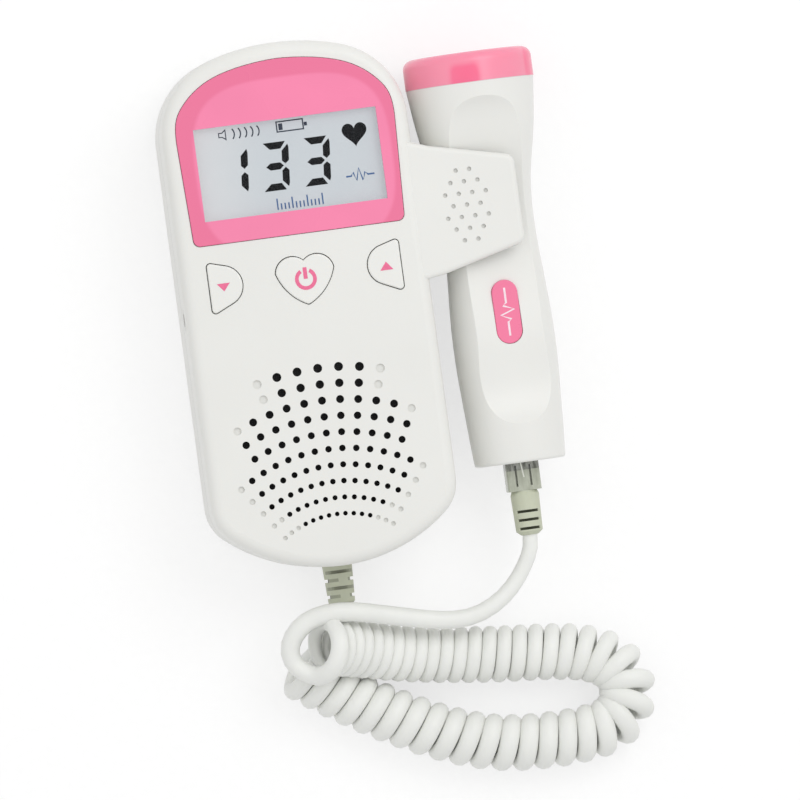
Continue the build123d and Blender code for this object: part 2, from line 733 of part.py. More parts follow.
CELL_X = CELL_D / 2 + CELL_GAP
for side, name in ((-1, "battery_left"), (1, "battery_right")):
    # The two cells lie head to tail, each with its flat end against a spring.
    flat_end = BAY_Y - side * (BAY_L / 2 - CONTACT_T - SPRING_ROOM + 0.1)
    with BuildPart() as cell:
        with BuildSketch(Plane(origin=(UNIT_X + side * CELL_X, flat_end, CELL_Z),
                               x_dir=(1, 0, 0), z_dir=(0, side, 0))):
            Circle(CELL_D / 2)
        extrude(amount=CELL_L)
        fillet(cell.edges().filter_by(GeomType.CIRCLE), 0.5)
        with BuildSketch(Plane(origin=(UNIT_X + side * CELL_X, flat_end, CELL_Z),
                               x_dir=(1, 0, 0), z_dir=(0, side, 0))):
            Circle(CELL_NUB_D / 2)
        extrude(amount=CELL_L + CELL_NUB_L - 0.1)
    finish(cell.part, name)

with BuildPart() as battery_contact_plates:
    for side in (-1, 1):
        for end in (-1, 1):
            with BuildSketch(Plane(origin=(UNIT_X + side * CELL_X, BAY_Y + end * BAY_L / 2, CELL_Z),
                                   x_dir=(1, 0, 0), z_dir=(0, -end, 0))):
                Rectangle(CONTACT_SIDE, CONTACT_SIDE)
            extrude(amount=CONTACT_T)
finish(battery_contact_plates.part, "battery_contact_plates")

SPRING_H = SPRING_ROOM - SPRING_WIRE - 0.3
with BuildPart() as battery_springs:
    for side in (-1, 1):
        seat_y = BAY_Y - side * (BAY_L / 2 - CONTACT_T - SPRING_WIRE / 2 - 0.05)
        with BuildLine(mode=Mode.PRIVATE):
            turns = Helix(SPRING_H / SPRING_TURNS, SPRING_H, SPRING_R,
                          center=(UNIT_X + side * CELL_X, seat_y, CELL_Z), direction=(0, side, 0))
        with BuildSketch(Plane(origin=turns @ 0, z_dir=turns % 0)):
            Circle(SPRING_WIRE / 2)
        sweep(path=turns, is_frenet=True)
finish(battery_springs.part, "battery_springs")

# ---- Fasteners and feet ----

with BuildPart() as case_screws:
    with BuildSketch(unit_plane(FOOT_H + SCREW_SINK)):
        with Locations(*SCREW_PLACES):
            Circle(SCREW_HEAD_R)
    extrude(amount=-SCREW_HEAD_T)
    with BuildSketch(unit_plane(FOOT_H + SCREW_SINK)):
        with Locations(*SCREW_PLACES):
            Circle(SCREW_R)
    extrude(amount=SCREW_L)
    with BuildSketch(unit_plane(FOOT_H + SCREW_SINK - SCREW_HEAD_T)):
        with Locations(*SCREW_PLACES):
            Rectangle(SCREW_CROSS_L, SCREW_CROSS_W)
            Rectangle(SCREW_CROSS_W, SCREW_CROSS_L)
    extrude(amount=SCREW_CROSS_DEPTH, mode=Mode.SUBTRACT)
finish(case_screws.part, "case_screws")

with BuildPart() as board_screws:
    with BuildSketch(unit_plane(BOARD_Z)):
        with Locations(*BOARD_SCREW_PLACES):
            Circle(BOARD_SCREW_HEAD_R)
    extrude(amount=-BOARD_SCREW_HEAD_T)
    with BuildSketch(unit_plane(BOARD_Z)):
        with Locations(*BOARD_SCREW_PLACES):
            Circle(BOARD_SCREW_R)
    extrude(amount=BOARD_T + BOARD_SCREW_GRIP)
finish(board_screws.part, "board_screws")

with BuildPart() as rubber_feet:
    with BuildSketch(unit_plane(0)):
        with Locations(*FOOT_PLACES):
            Circle(FOOT_R)
    extrude(amount=FOOT_H + FOOT_SINK)
    fillet(rubber_feet.edges().group_by(Axis.Z)[0], 0.4)
finish(rubber_feet.part, "rubber_feet")

# ---- Display ----

LENS_Z = FACE_Z + BEZEL_PROUD - BEZEL_T - LENS_T
LCD_Z = INNER_FACE_Z - LCD_T - 0.1

with BuildPart() as screen_bezel:
    with BuildSketch(unit_plane(FACE_Z + BEZEL_PROUD - BEZEL_T)):
        add(bezel_outline())
        with Locations((0, WINDOW_Y)):
            Rectangle(WINDOW_W, WINDOW_H, mode=Mode.SUBTRACT)
    extrude(amount=BEZEL_T)
    fillet(screen_bezel.faces().sort_by(Axis.Z)[-1].outer_wire().edges(), 0.2)
finish(screen_bezel.part, "screen_bezel")

with BuildPart() as display_lens:
    with BuildSketch(unit_plane(LENS_Z)):
        with Locations((0, WINDOW_Y)):
            Rectangle(WINDOW_W + 2 * LENS_LAP, WINDOW_H + 2 * LENS_LAP)
    extrude(amount=LENS_T)
finish(display_lens.part, "display_lens")

with BuildPart() as lcd_panel:
    with BuildSketch(unit_plane(LCD_Z)):
        with Locations((0, WINDOW_Y)):
            Rectangle(HOLDER_W, HOLDER_H)
    extrude(amount=LCD_T)
finish(lcd_panel.part, "lcd_panel")

with BuildPart() as lcd_backlight:
    with BuildSketch(unit_plane(LCD_Z - BACKLIGHT_T)):
        with Locations((0, WINDOW_Y)):
            Rectangle(HOLDER_W - 2 * HOLDER_WALL, HOLDER_H - 2 * HOLDER_WALL)
    extrude(amount=BACKLIGHT_T)
finish(lcd_backlight.part, "lcd_backlight")

with BuildPart() as lcd_holder:
    with BuildSketch(unit_plane(BOARD_TOP)):
        with Locations((0, WINDOW_Y)):
            Rectangle(HOLDER_W, HOLDER_H)
    extrude(amount=LCD_Z - BOARD_TOP)
    with BuildSketch(unit_plane(LCD_Z)):
        with Locations((0, WINDOW_Y)):
            Rectangle(HOLDER_W - 2 * HOLDER_WALL, HOLDER_H - 2 * HOLDER_WALL)
    extrude(amount=-BACKLIGHT_T, mode=Mode.SUBTRACT)
    with BuildSketch(unit_plane(BOARD_TOP)):
        with Locations((0, WINDOW_Y)):
            Rectangle(HOLDER_W - 6 * HOLDER_WALL, HOLDER_H - 6 * HOLDER_WALL)
    extrude(amount=LCD_Z - BACKLIGHT_T - BOARD_TOP, mode=Mode.SUBTRACT)
finish(lcd_holder.part, "lcd_holder")

# ---- Main board ----

BUTTON_PLACES = [
    (0, HEART_STEM_Y),
    (-(SIDE_BUTTON_OUT - SIDE_STEM_IN), SIDE_BUTTON_Y),
    (SIDE_BUTTON_OUT - SIDE_STEM_IN, SIDE_BUTTON_Y),
]
with BuildPart() as main_board:
    with BuildSketch(unit_plane(BOARD_Z)):
        with Locations((0, (BOARD_LOW + BOARD_HIGH) / 2)):
            RectangleRounded(BOARD_W, BOARD_HIGH - BOARD_LOW, BOARD_CORNER_R)
        with Locations(*BOARD_SCREW_PLACES):
            Circle(BOARD_SCREW_R + 0.1, mode=Mode.SUBTRACT)
    extrude(amount=BOARD_T)
finish(main_board.part, "main_board")

# Parts on the board: place across and along it, width, length and height
COMPONENTS = [
    (8.5, BOARD_LOW + 6.0, 7.0, 5.0, 1.6),
    (-9.0, BOARD_LOW + 5.5, 9.0, 5.0, 1.6),
    (0.0, BOARD_LOW + 2.2, 2.0, 1.2, 0.8),
    (17.0, BOARD_LOW + 4.5, 3.2, 2.5, 1.4),
    (0.0, HOLDER_LOW - 6.8, 3.0, 4.0, 1.4),
    (11.0, HOLDER_LOW - 6.3, 5.0, 5.0, 2.4),
    (-11.0, HOLDER_LOW - 6.3, 4.0, 6.0, 1.8),
    (-4.0, WINDOW_Y - 3.8, 12.0, 9.0, 1.4),
    (11.0, WINDOW_Y - 1.8, 6.0, 6.0, 1.2),
]
with BuildPart() as board_components:
    for x, y, width, length, height in COMPONENTS:
        with BuildSketch(unit_plane(BOARD_TOP)):
            with Locations((x, y)):
                Rectangle(width, length)
        extrude(amount=height)
finish(board_components.part, "board_components")

with BuildPart() as tact_switches:
    with BuildSketch(unit_plane(BOARD_TOP)):
        with Locations(*BUTTON_PLACES):
            Rectangle(SWITCH_SIDE, SWITCH_SIDE)
    extrude(amount=SWITCH_H)
    with BuildSketch(unit_plane(BOARD_TOP + SWITCH_H)):
        with Locations(*BUTTON_PLACES):
            Circle(PLUNGER_R)
    extrude(amount=PLUNGER_H)
finish(tact_switches.part, "tact_switches")

JACK_Z = BOARD_TOP + JACK_W / 2
JACK_FACE = UNIT_X - BODY_W / 2
with BuildPart() as headphone_jack:
    with BuildSketch(Plane(origin=(JACK_FACE + CASE_WALL + 0.3, JACK_Y, JACK_Z),
                           x_dir=(0, 1, 0), z_dir=(1, 0, 0))):
        Rectangle(JACK_W, JACK_W)
    extrude(amount=JACK_L - CASE_WALL - 0.3)
    with BuildSketch(Plane(origin=(JACK_FACE, JACK_Y, JACK_Z),
                           x_dir=(0, 1, 0), z_dir=(1, 0, 0))):
        Circle(JACK_COLLAR_R)
    extrude(amount=CASE_WALL + 1.0)
    with BuildSketch(Plane(origin=(JACK_FACE, JACK_Y, JACK_Z),
                           x_dir=(0, 1, 0), z_dir=(1, 0, 0))):
        Circle(JACK_BORE_R)
    extrude(amount=JACK_L - 1.0, mode=Mode.SUBTRACT)
finish(headphone_jack.part, "headphone_jack")

# ---- Buttons ----


def button_cap(outline, flange, place, name):
    """Cap with a soft top edge, a flange under the face wall and a stem to its switch."""
    with BuildPart() as cap:
        with BuildSketch(unit_plane(INNER_FACE_Z - 0.05)):
            add(outline)
        extrude(amount=FACE_Z + BUTTON_PROUD - INNER_FACE_Z + 0.05)
        fillet(cap.faces().sort_by(Axis.Z)[-1].edges(), BUTTON_EDGE_R)
        with BuildSketch(unit_plane(INNER_FACE_Z - 0.05)):
            add(flange)
        extrude(amount=-BUTTON_FLANGE_T)
        with BuildSketch(unit_plane(STEM_Z)):
            with Locations(place):
                Circle(STEM_R)
        extrude(amount=INNER_FACE_Z - STEM_Z - 0.05)
    finish(cap.part, name)


button_cap(heart_outline(), heart_outline(BUTTON_FLANGE), BUTTON_PLACES[0], "power_button")
button_cap(side_button_outline(-1), side_button_outline(-1, BUTTON_FLANGE),
           BUTTON_PLACES[1], "volume_down_button")
button_cap(side_button_outline(1), side_button_outline(1, BUTTON_FLANGE),
           BUTTON_PLACES[2], "volume_up_button")

# ---- Loudspeaker ----

CLOTH_Z = INNER_FACE_Z - CLOTH_T
RIM_Z = CLOTH_Z - SPEAKER_RIM_T
SPEAKER_BACK_Z = CLOTH_Z - SPEAKER_DEPTH
with BuildPart() as speaker_cloth:
    with BuildSketch(unit_plane(CLOTH_Z)):
        with Locations((0, SPEAKER_Y)):
            Circle(SPEAKER_R)
    extrude(amount=CLOTH_T)
finish(speaker_cloth.part, "speaker_cloth")

SPEAKER_AXIS = Axis((UNIT_X, SPEAKER_Y, 0), (0, 0, 1))
SPEAKER_SIDE = Plane(origin=(UNIT_X, SPEAKER_Y, 0), x_dir=(1, 0, 0), z_dir=(0, -1, 0))
with BuildPart() as loudspeaker_basket:
    with BuildSketch(SPEAKER_SIDE):
        with BuildLine():
            Polyline(
                (SPEAKER_R, CLOTH_Z),
                (SPEAKER_R, RIM_Z),
                (SPEAKER_R - 2.0, RIM_Z),
                (MAGNET_R + 1.0, SPEAKER_BACK_Z),
                (4.0, SPEAKER_BACK_Z),
                (4.0, SPEAKER_BACK_Z + 1.0),
                (MAGNET_R + 0.4, SPEAKER_BACK_Z + 1.0),
                (SPEAKER_R - 3.2, CLOTH_Z - 1.0),
                (SPEAKER_R - 2.4, CLOTH_Z),
                close=True,
            )
        make_face()
    revolve(axis=SPEAKER_AXIS, revolution_arc=360)
finish(loudspeaker_basket.part, "loudspeaker_basket")

with BuildPart() as loudspeaker_cone:
    with BuildSketch(SPEAKER_SIDE):
        with BuildLine():
            Polyline(
                (SPEAKER_R - 2.9, CLOTH_Z - 0.25),
                (SPEAKER_R - 3.9, CLOTH_Z - 0.7),
                (SPEAKER_R - 5.2, CLOTH_Z - 0.4),
                (8.0, CLOTH_Z - 6.4),
                (0, CLOTH_Z - 4.4),
                (0, CLOTH_Z - 4.4 - CONE_T),
                (8.0, CLOTH_Z - 6.4 - CONE_T),
                (SPEAKER_R - 5.2, CLOTH_Z - 0.4 - CONE_T),
                (SPEAKER_R - 3.9, CLOTH_Z - 0.7 - CONE_T),
                (SPEAKER_R - 3.5, CLOTH_Z - 1.0),
                close=True,
            )
        make_face()
    revolve(axis=SPEAKER_AXIS, revolution_arc=360)
finish(loudspeaker_cone.part, "loudspeaker_cone")

with BuildPart() as loudspeaker_magnet:
    with BuildSketch(unit_plane(SPEAKER_BACK_Z)):
        with Locations((0, SPEAKER_Y)):
            Circle(MAGNET_R)
    extrude(amount=-MAGNET_T)
    chamfer(loudspeaker_magnet.edges().group_by(Axis.Z)[0], 0.6)
finish(loudspeaker_magnet.part, "loudspeaker_magnet")

# ---- Probe ----

probe_outer = probe_revolved(0, PROBE_FOOT, CAP_FOOT)
probe_hollow = probe_revolved(PROBE_WALL, PROBE_FOOT + PROBE_WALL, CAP_FOOT + 1.0)
facet_space = facet_cutter(0)
facet_wall_space = facet_cutter(PROBE_WALL)
SPIGOT_R = CAP_R - 0.1 - PROBE_WALL - 1.05
SOCKET_FACE = PROBE_FOOT + PROBE_WALL
with BuildPart() as probe_cavity:
    add(probe_hollow)
    add(facet_wall_space, mode=Mode.SUBTRACT)

with BuildPart() as probe_case:
    add(probe_outer)
    fillet(probe_case.faces().sort_by(Axis.Y)[0].edges(), PROBE_FOOT_EDGE_R)
    add(facet_space, mode=Mode.SUBTRACT)
    add(probe_cavity.part, mode=Mode.SUBTRACT)
    # Opening for the plug in the foot
    with BuildSketch(across_probe(PROBE_FOOT - 1.0)):
        Rectangle(PLUG_W + 2 * SOCKET_GAP, PLUG_H + 2 * SOCKET_GAP)
    extrude(amount=-(PROBE_WALL + 3.0), mode=Mode.SUBTRACT)
    # Seat of the badge in the facet
    with BuildSketch(facet_plane(LABEL_FLOOR - LABEL_T)):
        with Locations((0, LABEL_Y)):
            SlotOverall(LABEL_L + 0.2, LABEL_W + 0.2, rotation=90)
    extrude(amount=6.0, mode=Mode.SUBTRACT)

with BuildPart() as probe_front_shell:
    add(probe_case.part)
    split(bisect_by=probe_plane(PROBE_Z), keep=Keep.TOP)
finish(probe_front_shell.part, "probe_front_shell")

with BuildPart() as probe_rear_shell:
    add(probe_case.part)
    split(bisect_by=probe_plane(PROBE_Z), keep=Keep.BOTTOM)
finish(probe_rear_shell.part, "probe_rear_shell")

with BuildPart() as probe_label:
    with BuildSketch(facet_plane(LABEL_FLOOR - LABEL_T)):
        with Locations((0, LABEL_Y)):
            SlotOverall(LABEL_L, LABEL_W, rotation=90)
    extrude(amount=LABEL_T + LABEL_PROUD)
    fillet(probe_label.faces().sort_by(Axis.Z)[-1].edges(), 0.25)
finish(probe_label.part, "probe_label")

with BuildPart() as probe_cap:
    with BuildSketch(probe_plane(PROBE_Z)) as cap_section:
        with BuildLine():
            Polyline(
                (0, CAP_TOP),
                (CAP_R, CAP_TOP),
                (CAP_R, CAP_FOOT),
                (SPIGOT_R, CAP_FOOT),
                (SPIGOT_R, CAP_FOOT - SPIGOT_L),
                (SPIGOT_R - SPIGOT_T, CAP_FOOT - SPIGOT_L),
                (SPIGOT_R - SPIGOT_T, CAP_TOP - CAP_FACE_T),
                (0, CAP_TOP - CAP_FACE_T),
                close=True,
            )
        make_face()
        fillet(cap_section.vertices().group_by(Axis.Y)[-1].sort_by(Axis.X)[-1], CAP_EDGE_R)
    revolve(axis=PROBE_AXIS, revolution_arc=360)
finish(probe_cap.part, "probe_cap")

with BuildPart() as cap_seal:
    with BuildSketch(probe_plane(PROBE_Z)):
        with Locations((SPIGOT_R + SEAL_R + 0.02, CAP_FOOT - 1.2)):
            Circle(SEAL_R)
    revolve(axis=PROBE_AXIS, revolution_arc=360)
finish(cap_seal.part, "cap_seal")

CRYSTAL_FACE = CAP_TOP - CAP_FACE_T
with BuildPart() as piezo_crystals:
    with BuildSketch(Plane(origin=(PROBE_X, CRYSTAL_FACE, PROBE_Z), x_dir=(1, 0, 0),
                           z_dir=(0, -1, 0))):
        Circle(SPIGOT_R - SPIGOT_T - CRYSTAL_EDGE)
        Rectangle(CRYSTAL_SPLIT, 2 * CAP_R, mode=Mode.SUBTRACT)
    extrude(amount=CRYSTAL_T)
finish(piezo_crystals.part, "piezo_crystals")

with BuildPart() as transducer_backing:
    with BuildSketch(Plane(origin=(PROBE_X, CRYSTAL_FACE - CRYSTAL_T, PROBE_Z),
                           x_dir=(1, 0, 0), z_dir=(0, -1, 0))):
        Circle(SPIGOT_R - SPIGOT_T - 0.05)
    extrude(amount=BACKING_T)
finish(transducer_backing.part, "transducer_backing")

# ---- Probe board, socket and plug ----

SOCKET_BACK = SOCKET_FACE + SOCKET_L
PLUG_TIP = PROBE_FOOT + PLUG_IN
with BuildPart() as probe_socket:
    with BuildSketch(across_probe(SOCKET_FACE)):
        Rectangle(SOCKET_W, SOCKET_H)
    extrude(amount=-SOCKET_L)
    with BuildSketch(across_probe(SOCKET_FACE)):
        Rectangle(PLUG_W + 2 * SOCKET_GAP, PLUG_H + 2 * SOCKET_GAP)
    extrude(amount=SOCKET_FACE - PLUG_TIP - SOCKET_GAP, mode=Mode.SUBTRACT)
finish(probe_socket.part, "probe_socket")

BOARD_EDGE_Z = PROBE_Z - SOCKET_H / 2
with BuildPart() as probe_board:
    with BuildSketch(probe_plane(BOARD_EDGE_Z)):
        with Locations((0, (SOCKET_FACE + 0.3 + PROBE_BOARD_END) / 2)):
            Rectangle(PROBE_BOARD_W, PROBE_BOARD_END - SOCKET_FACE - 0.3)
    extrude(amount=-PROBE_BOARD_T)
    for place in (-22.0, -10.0, 2.0):
        with BuildSketch(probe_plane(BOARD_EDGE_Z)):
            with Locations((0, place)):
                Rectangle(7.0, 5.0)
        extrude(amount=1.5)
finish(probe_board.part, "probe_board")


def contact_places(height):
    """Evenly spaced places of the plug's contacts across its width."""
    first = -(CONTACT_COUNT - 1) / 2 * CONTACT_PITCH
    return [(first + index * CONTACT_PITCH, height) for index in range(CONTACT_COUNT)]


with BuildPart() as plug_contacts:
    with BuildSketch(across_probe(PLUG_TIP - 0.6)):
        with Locations(*contact_places(-PLUG_H / 2 + 1.5)):
            Rectangle(0.35, 2.6)
    extrude(amount=4.0)
finish(plug_contacts.part, "plug_contacts")

with BuildPart() as modular_plug:
    with BuildSketch(across_probe(PLUG_TIP)):
        Rectangle(PLUG_W, PLUG_H)
    extrude(amount=PLUG_TIP - PLUG_END)
    chamfer(modular_plug.edges().filter_by(Axis.Y), 0.4)
    add(plug_contacts.part, mode=Mode.SUBTRACT)
    # Latch: a springy tongue on the display side, free at the cord's end
    with BuildSketch(probe_plane(PROBE_Z + PLUG_H / 2 - LATCH_T - 0.5)):
        with Locations((-LATCH_W / 2 - 0.25, PROBE_FOOT - 3.4), (LATCH_W / 2 + 0.25, PROBE_FOOT - 3.4)):
            Rectangle(0.5, 5.4)
    extrude(amount=LATCH_T + 1.0, mode=Mode.SUBTRACT)
finish(modular_plug.part, "modular_plug")

with BuildPart() as socket_contacts:
    with BuildSketch(across_probe(SOCKET_BACK)):
        with Locations(*contact_places(-PLUG_H / 2 + 1.5)):
            Rectangle(0.3, 1.0)
    extrude(amount=-SOCKET_PIN_L)
finish(socket_contacts.part, "socket_contacts")

BOOT_FIRST_GROOVE = BOOT_END + BOOT_GROOVE_IN
with BuildPart() as plug_boot:
    with BuildSketch(probe_plane(PROBE_Z)):
        with BuildLine():
            Polyline(
                (0, PLUG_END),
                (BOOT_R - 0.4, PLUG_END),
                (BOOT_R, PLUG_END - 1.0),
                (BOOT_END_R, BOOT_END + 1.0),
                (BOOT_END_R - 1.2, BOOT_END),
                (0, BOOT_END),
                close=True,
            )
        make_face()
    revolve(axis=PROBE_AXIS, revolution_arc=360)
    for groove in range(BOOT_GROOVES):
        for face_side in (-1, 1):
            with BuildSketch(across_probe(BOOT_FIRST_GROOVE + groove * BOOT_GROOVE_PITCH)):
                with Locations((0, face_side * (BOOT_R - 0.5))):
                    Rectangle(2 * BOOT_R, 2.4)
            extrude(amount=-BOOT_GROOVE, mode=Mode.SUBTRACT)
finish(plug_boot.part, "plug_boot")

# ---- Strain relief ----

GLAND_AXIS = Axis((UNIT_X, 0, GLAND_Z), (0, 1, 0))
GLAND_WALL = -BODY_L / 2 + CASE_WALL
with BuildPart() as strain_relief:
    with BuildSketch(unit_plane(GLAND_Z)):
        with BuildLine():
            Polyline(
                (0, GLAND_WALL + 2.0),
                (GLAND_FLANGE_R, GLAND_WALL + 2.0),
                (GLAND_FLANGE_R, GLAND_WALL + 0.4),
                (GLAND_R, GLAND_WALL + 0.4),
                (GLAND_R, -BODY_L / 2),
                (GLAND_END_R, GLAND_END + 0.5),
                (GLAND_END_R - 0.5, GLAND_END),
                (0, GLAND_END),
                close=True,
            )
        make_face()
    revolve(axis=GLAND_AXIS, revolution_arc=360)
    # Slots in four rows, turned a quarter from one row to the next
    for row in range(GLAND_SLOTS):
        place = -BODY_L / 2 - 1.2 - row * GLAND_SLOT_PITCH
        for side in (-1, 1):
            with BuildSketch(across_unit(place, GLAND_Z)):
                if row % 2 == 0:
                    with Locations((0, side * (GLAND_R - 0.1))):
                        Rectangle(5.6, 2.2)
                else:
                    with Locations((side * (GLAND_R - 0.1), 0)):
                        Rectangle(2.2, 5.6)
            extrude(amount=GLAND_SLOT, mode=Mode.SUBTRACT)
finish(strain_relief.part, "strain_relief")

# ---- Lead inside the unit ----

INNER_LEAD_END_Y = BAY_LOW - BAY_WALL - INNER_LEAD_D / 2 - 1.5
internal_cable = cord_solid(
    "internal_cable",
    [
        (0, GLAND_WALL + 2.0, GLAND_Z),
        (0, GLAND_WALL + 7.3, GLAND_Z),
        (1.0, GLAND_WALL + 15.3, FLOOR_Z + 4.0),
        (3.0, SPEAKER_Y - 2.6, FLOOR_Z + 3.0),
        (5.0, INNER_LEAD_END_Y - 17.3, FLOOR_Z + 4.0),
        (6.0, INNER_LEAD_END_Y - 6.3, FLOOR_Z + 6.5),
        (6.0, INNER_LEAD_END_Y, FLOOR_Z + 11.0),
        (6.0, INNER_LEAD_END_Y, BOARD_Z),
    ],
    INNER_LEAD_D,
)
finish(internal_cable, "internal_cable")

# ---- The curly cord ----

LEAD_ROUTE = [
    (PROBE_OFFSET, BOOT_END, PROBE_Z),
    (PROBE_OFFSET, BOOT_END - 3.2, PROBE_Z),
    (47.2, BOOT_END - 8.0, 17.6),
    (43.6, BOOT_END - 12.8, 17.4),
    (38.2, BOOT_END - 17.0, 17.4),
    (31.4, GLAND_END - 8.0, 17.7),
    (24.2, GLAND_END - 7.6, 18.2),
    (16.6, GLAND_END - 5.8, 18.9),
    (8.6, GLAND_END - 3.8, 19.7),
    (1.2, GLAND_END - 2.0, 20.8),
    (-5.2, GLAND_END - 1.7, 21.6),
    (-10.8, GLAND_END - 3.1, 21.2),
    (-14.6, GLAND_END - 6.5, 20.0),
    (-16.0, GLAND_END - 10.7, 18.8),
    (-14.4, GLAND_END - 14.7, 18.4),
    (-10.6, GLAND_END - 17.1, 19.0),
]
COIL_ROUTE = [
    (-6.8, GLAND_END - 11.0, 20.5),
    (-3.4, GLAND_END - 11.5, 16.2),
    (1.6, GLAND_END - 12.5, 12.3),
    (8.2, GLAND_END - 13.7, 9.3),
    (17.0, GLAND_END - 14.9, COIL_Z + 0.2),
    (28.4, GLAND_END - 16.0, COIL_Z),
    (40.4, GLAND_END - 16.9, COIL_Z),
    (51.4, GLAND_END - 18.1, COIL_Z),
    (60.6, GLAND_END - 19.9, COIL_Z),
    (66.9, GLAND_END - 22.4, COIL_Z),
    (70.6, GLAND_END - 27.3, COIL_Z),
    (70.4, GLAND_END - 33.5, COIL_Z),
    (66.6, GLAND_END - 38.1, COIL_Z),
    (60.2, GLAND_END - 40.1, COIL_Z),
    (50.0, GLAND_END - 40.7, COIL_Z),
    (35.8, GLAND_END - 39.9, COIL_Z),
    (22.4, GLAND_END - 36.5, COIL_Z),
    (8.6, GLAND_END - 30.7, COIL_Z),
    (-4.0, GLAND_END - 23.9, COIL_Z),
    (-15.9, GLAND_END - 17.5, COIL_Z),
]
UNIT_ROUTE = [
    (0, GLAND_END, GLAND_Z),
    (0, GLAND_END - 2.8, GLAND_Z),
    (-0.9, GLAND_END - 5.6, 9.2),
    (-3.1, GLAND_END - 7.9, 7.7),
    (-6.0, GLAND_END - 10.1, 6.4),
    (-9.0, GLAND_END - 12.4, 5.7),
    (-11.8, GLAND_END - 14.9, 5.7),
]
cord_probe_lead = cord_solid("cord_probe_lead", LEAD_ROUTE, CORD_D)
finish(cord_probe_lead, "cord_probe_lead")
cord_coil = cord_solid("cord_coil", COIL_ROUTE, COIL_D)
finish(cord_coil, "cord_coil")
cord_unit_lead = cord_solid("cord_unit_lead", UNIT_ROUTE, CORD_D)
finish(cord_unit_lead, "cord_unit_lead")
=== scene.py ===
"""Looks of a hand-held fetal doppler with a display, a clip and a probe on a curly cord.

Lengths are metres. +Z leaves the display, +Y points to the display end, +X to the probe.
"""

import math
from itertools import accumulate

import bpy
from mathutils import Matrix, Vector


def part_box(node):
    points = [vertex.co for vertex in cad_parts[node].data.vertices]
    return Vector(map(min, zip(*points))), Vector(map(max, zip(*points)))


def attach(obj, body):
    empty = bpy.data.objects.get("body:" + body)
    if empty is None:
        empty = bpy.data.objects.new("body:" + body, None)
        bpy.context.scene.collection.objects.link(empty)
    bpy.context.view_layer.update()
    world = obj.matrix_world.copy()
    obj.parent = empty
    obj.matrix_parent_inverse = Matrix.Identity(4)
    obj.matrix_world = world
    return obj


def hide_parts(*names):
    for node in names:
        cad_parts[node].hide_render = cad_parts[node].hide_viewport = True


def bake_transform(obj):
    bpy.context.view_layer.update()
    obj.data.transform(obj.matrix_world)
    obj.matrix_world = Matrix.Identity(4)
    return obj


bl_info = {
    "name": "Fetal Doppler Looks",
    "version": (1, 0, 0),
    "blender": (4, 5, 0),
    "location": "3D View > Sidebar > Doppler",
    "description": "Builds the printed marks, the curly cord and the finishes of a fetal doppler",
    "category": "Object",
}

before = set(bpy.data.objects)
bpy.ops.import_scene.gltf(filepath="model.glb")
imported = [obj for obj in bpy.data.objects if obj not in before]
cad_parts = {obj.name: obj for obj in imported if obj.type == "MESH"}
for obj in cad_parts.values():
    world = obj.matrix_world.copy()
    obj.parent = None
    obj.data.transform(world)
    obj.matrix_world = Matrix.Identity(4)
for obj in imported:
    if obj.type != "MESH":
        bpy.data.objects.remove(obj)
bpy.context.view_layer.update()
MM = 0.001


def middle(node):
    """Centre of one node's box."""
    low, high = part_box(node)
    return (Vector(low) + Vector(high)) / 2


def top_of(node):
    """Height of one node's highest point."""
    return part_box(node)[1][2]


UNIT_X = middle("display_lens").x
PROBE_X = middle("probe_cap").x
PROBE_Z = middle("probe_cap").z
FACE_Z = top_of("power_button") - 0.6 * MM


def tone(red, green, blue):
    """Linear colour of three screen levels from 0 to 255."""
    levels = []
    for level in (red, green, blue):
        share = level / 255
        levels.append(share / 12.92 if share <= 0.04045 else ((share + 0.055) / 1.055) ** 2.4)
    return tuple(levels)


def shaded(colour, share):
    """A colour with its levels scaled by a share."""
    return tuple(min(1.0, level * share) for level in colour)


# ---- Trees of nodes ----


def wire_maths(operation, swapped=False):
    """Method of a wire that adds one Math node."""
    return lambda wire, other=0.0: wire.math(operation, other, swapped)


class Wire:
    """Socket of a tree that takes part in Python expressions."""

    def __init__(self, tree, socket):
        self.tree = tree
        self.socket = socket

    def math(self, operation, other=0.0, swapped=False):
        """Wire from a Math node on this wire and another value."""
        first, second = (other, self) if swapped else (self, other)
        return self.tree.node("ShaderNodeMath", {0: first, 1: second}, {"operation": operation})

    __add__ = wire_maths("ADD")
    __radd__ = wire_maths("ADD", swapped=True)
    __sub__ = wire_maths("SUBTRACT")
    __rsub__ = wire_maths("SUBTRACT", swapped=True)
    __mul__ = wire_maths("MULTIPLY")
    __rmul__ = wire_maths("MULTIPLY", swapped=True)
    __truediv__ = wire_maths("DIVIDE")
    __pow__ = wire_maths("POWER")
    __gt__ = wire_maths("GREATER_THAN")
    __lt__ = wire_maths("LESS_THAN")
    __abs__ = wire_maths("ABSOLUTE")
    sine = wire_maths("SINE")


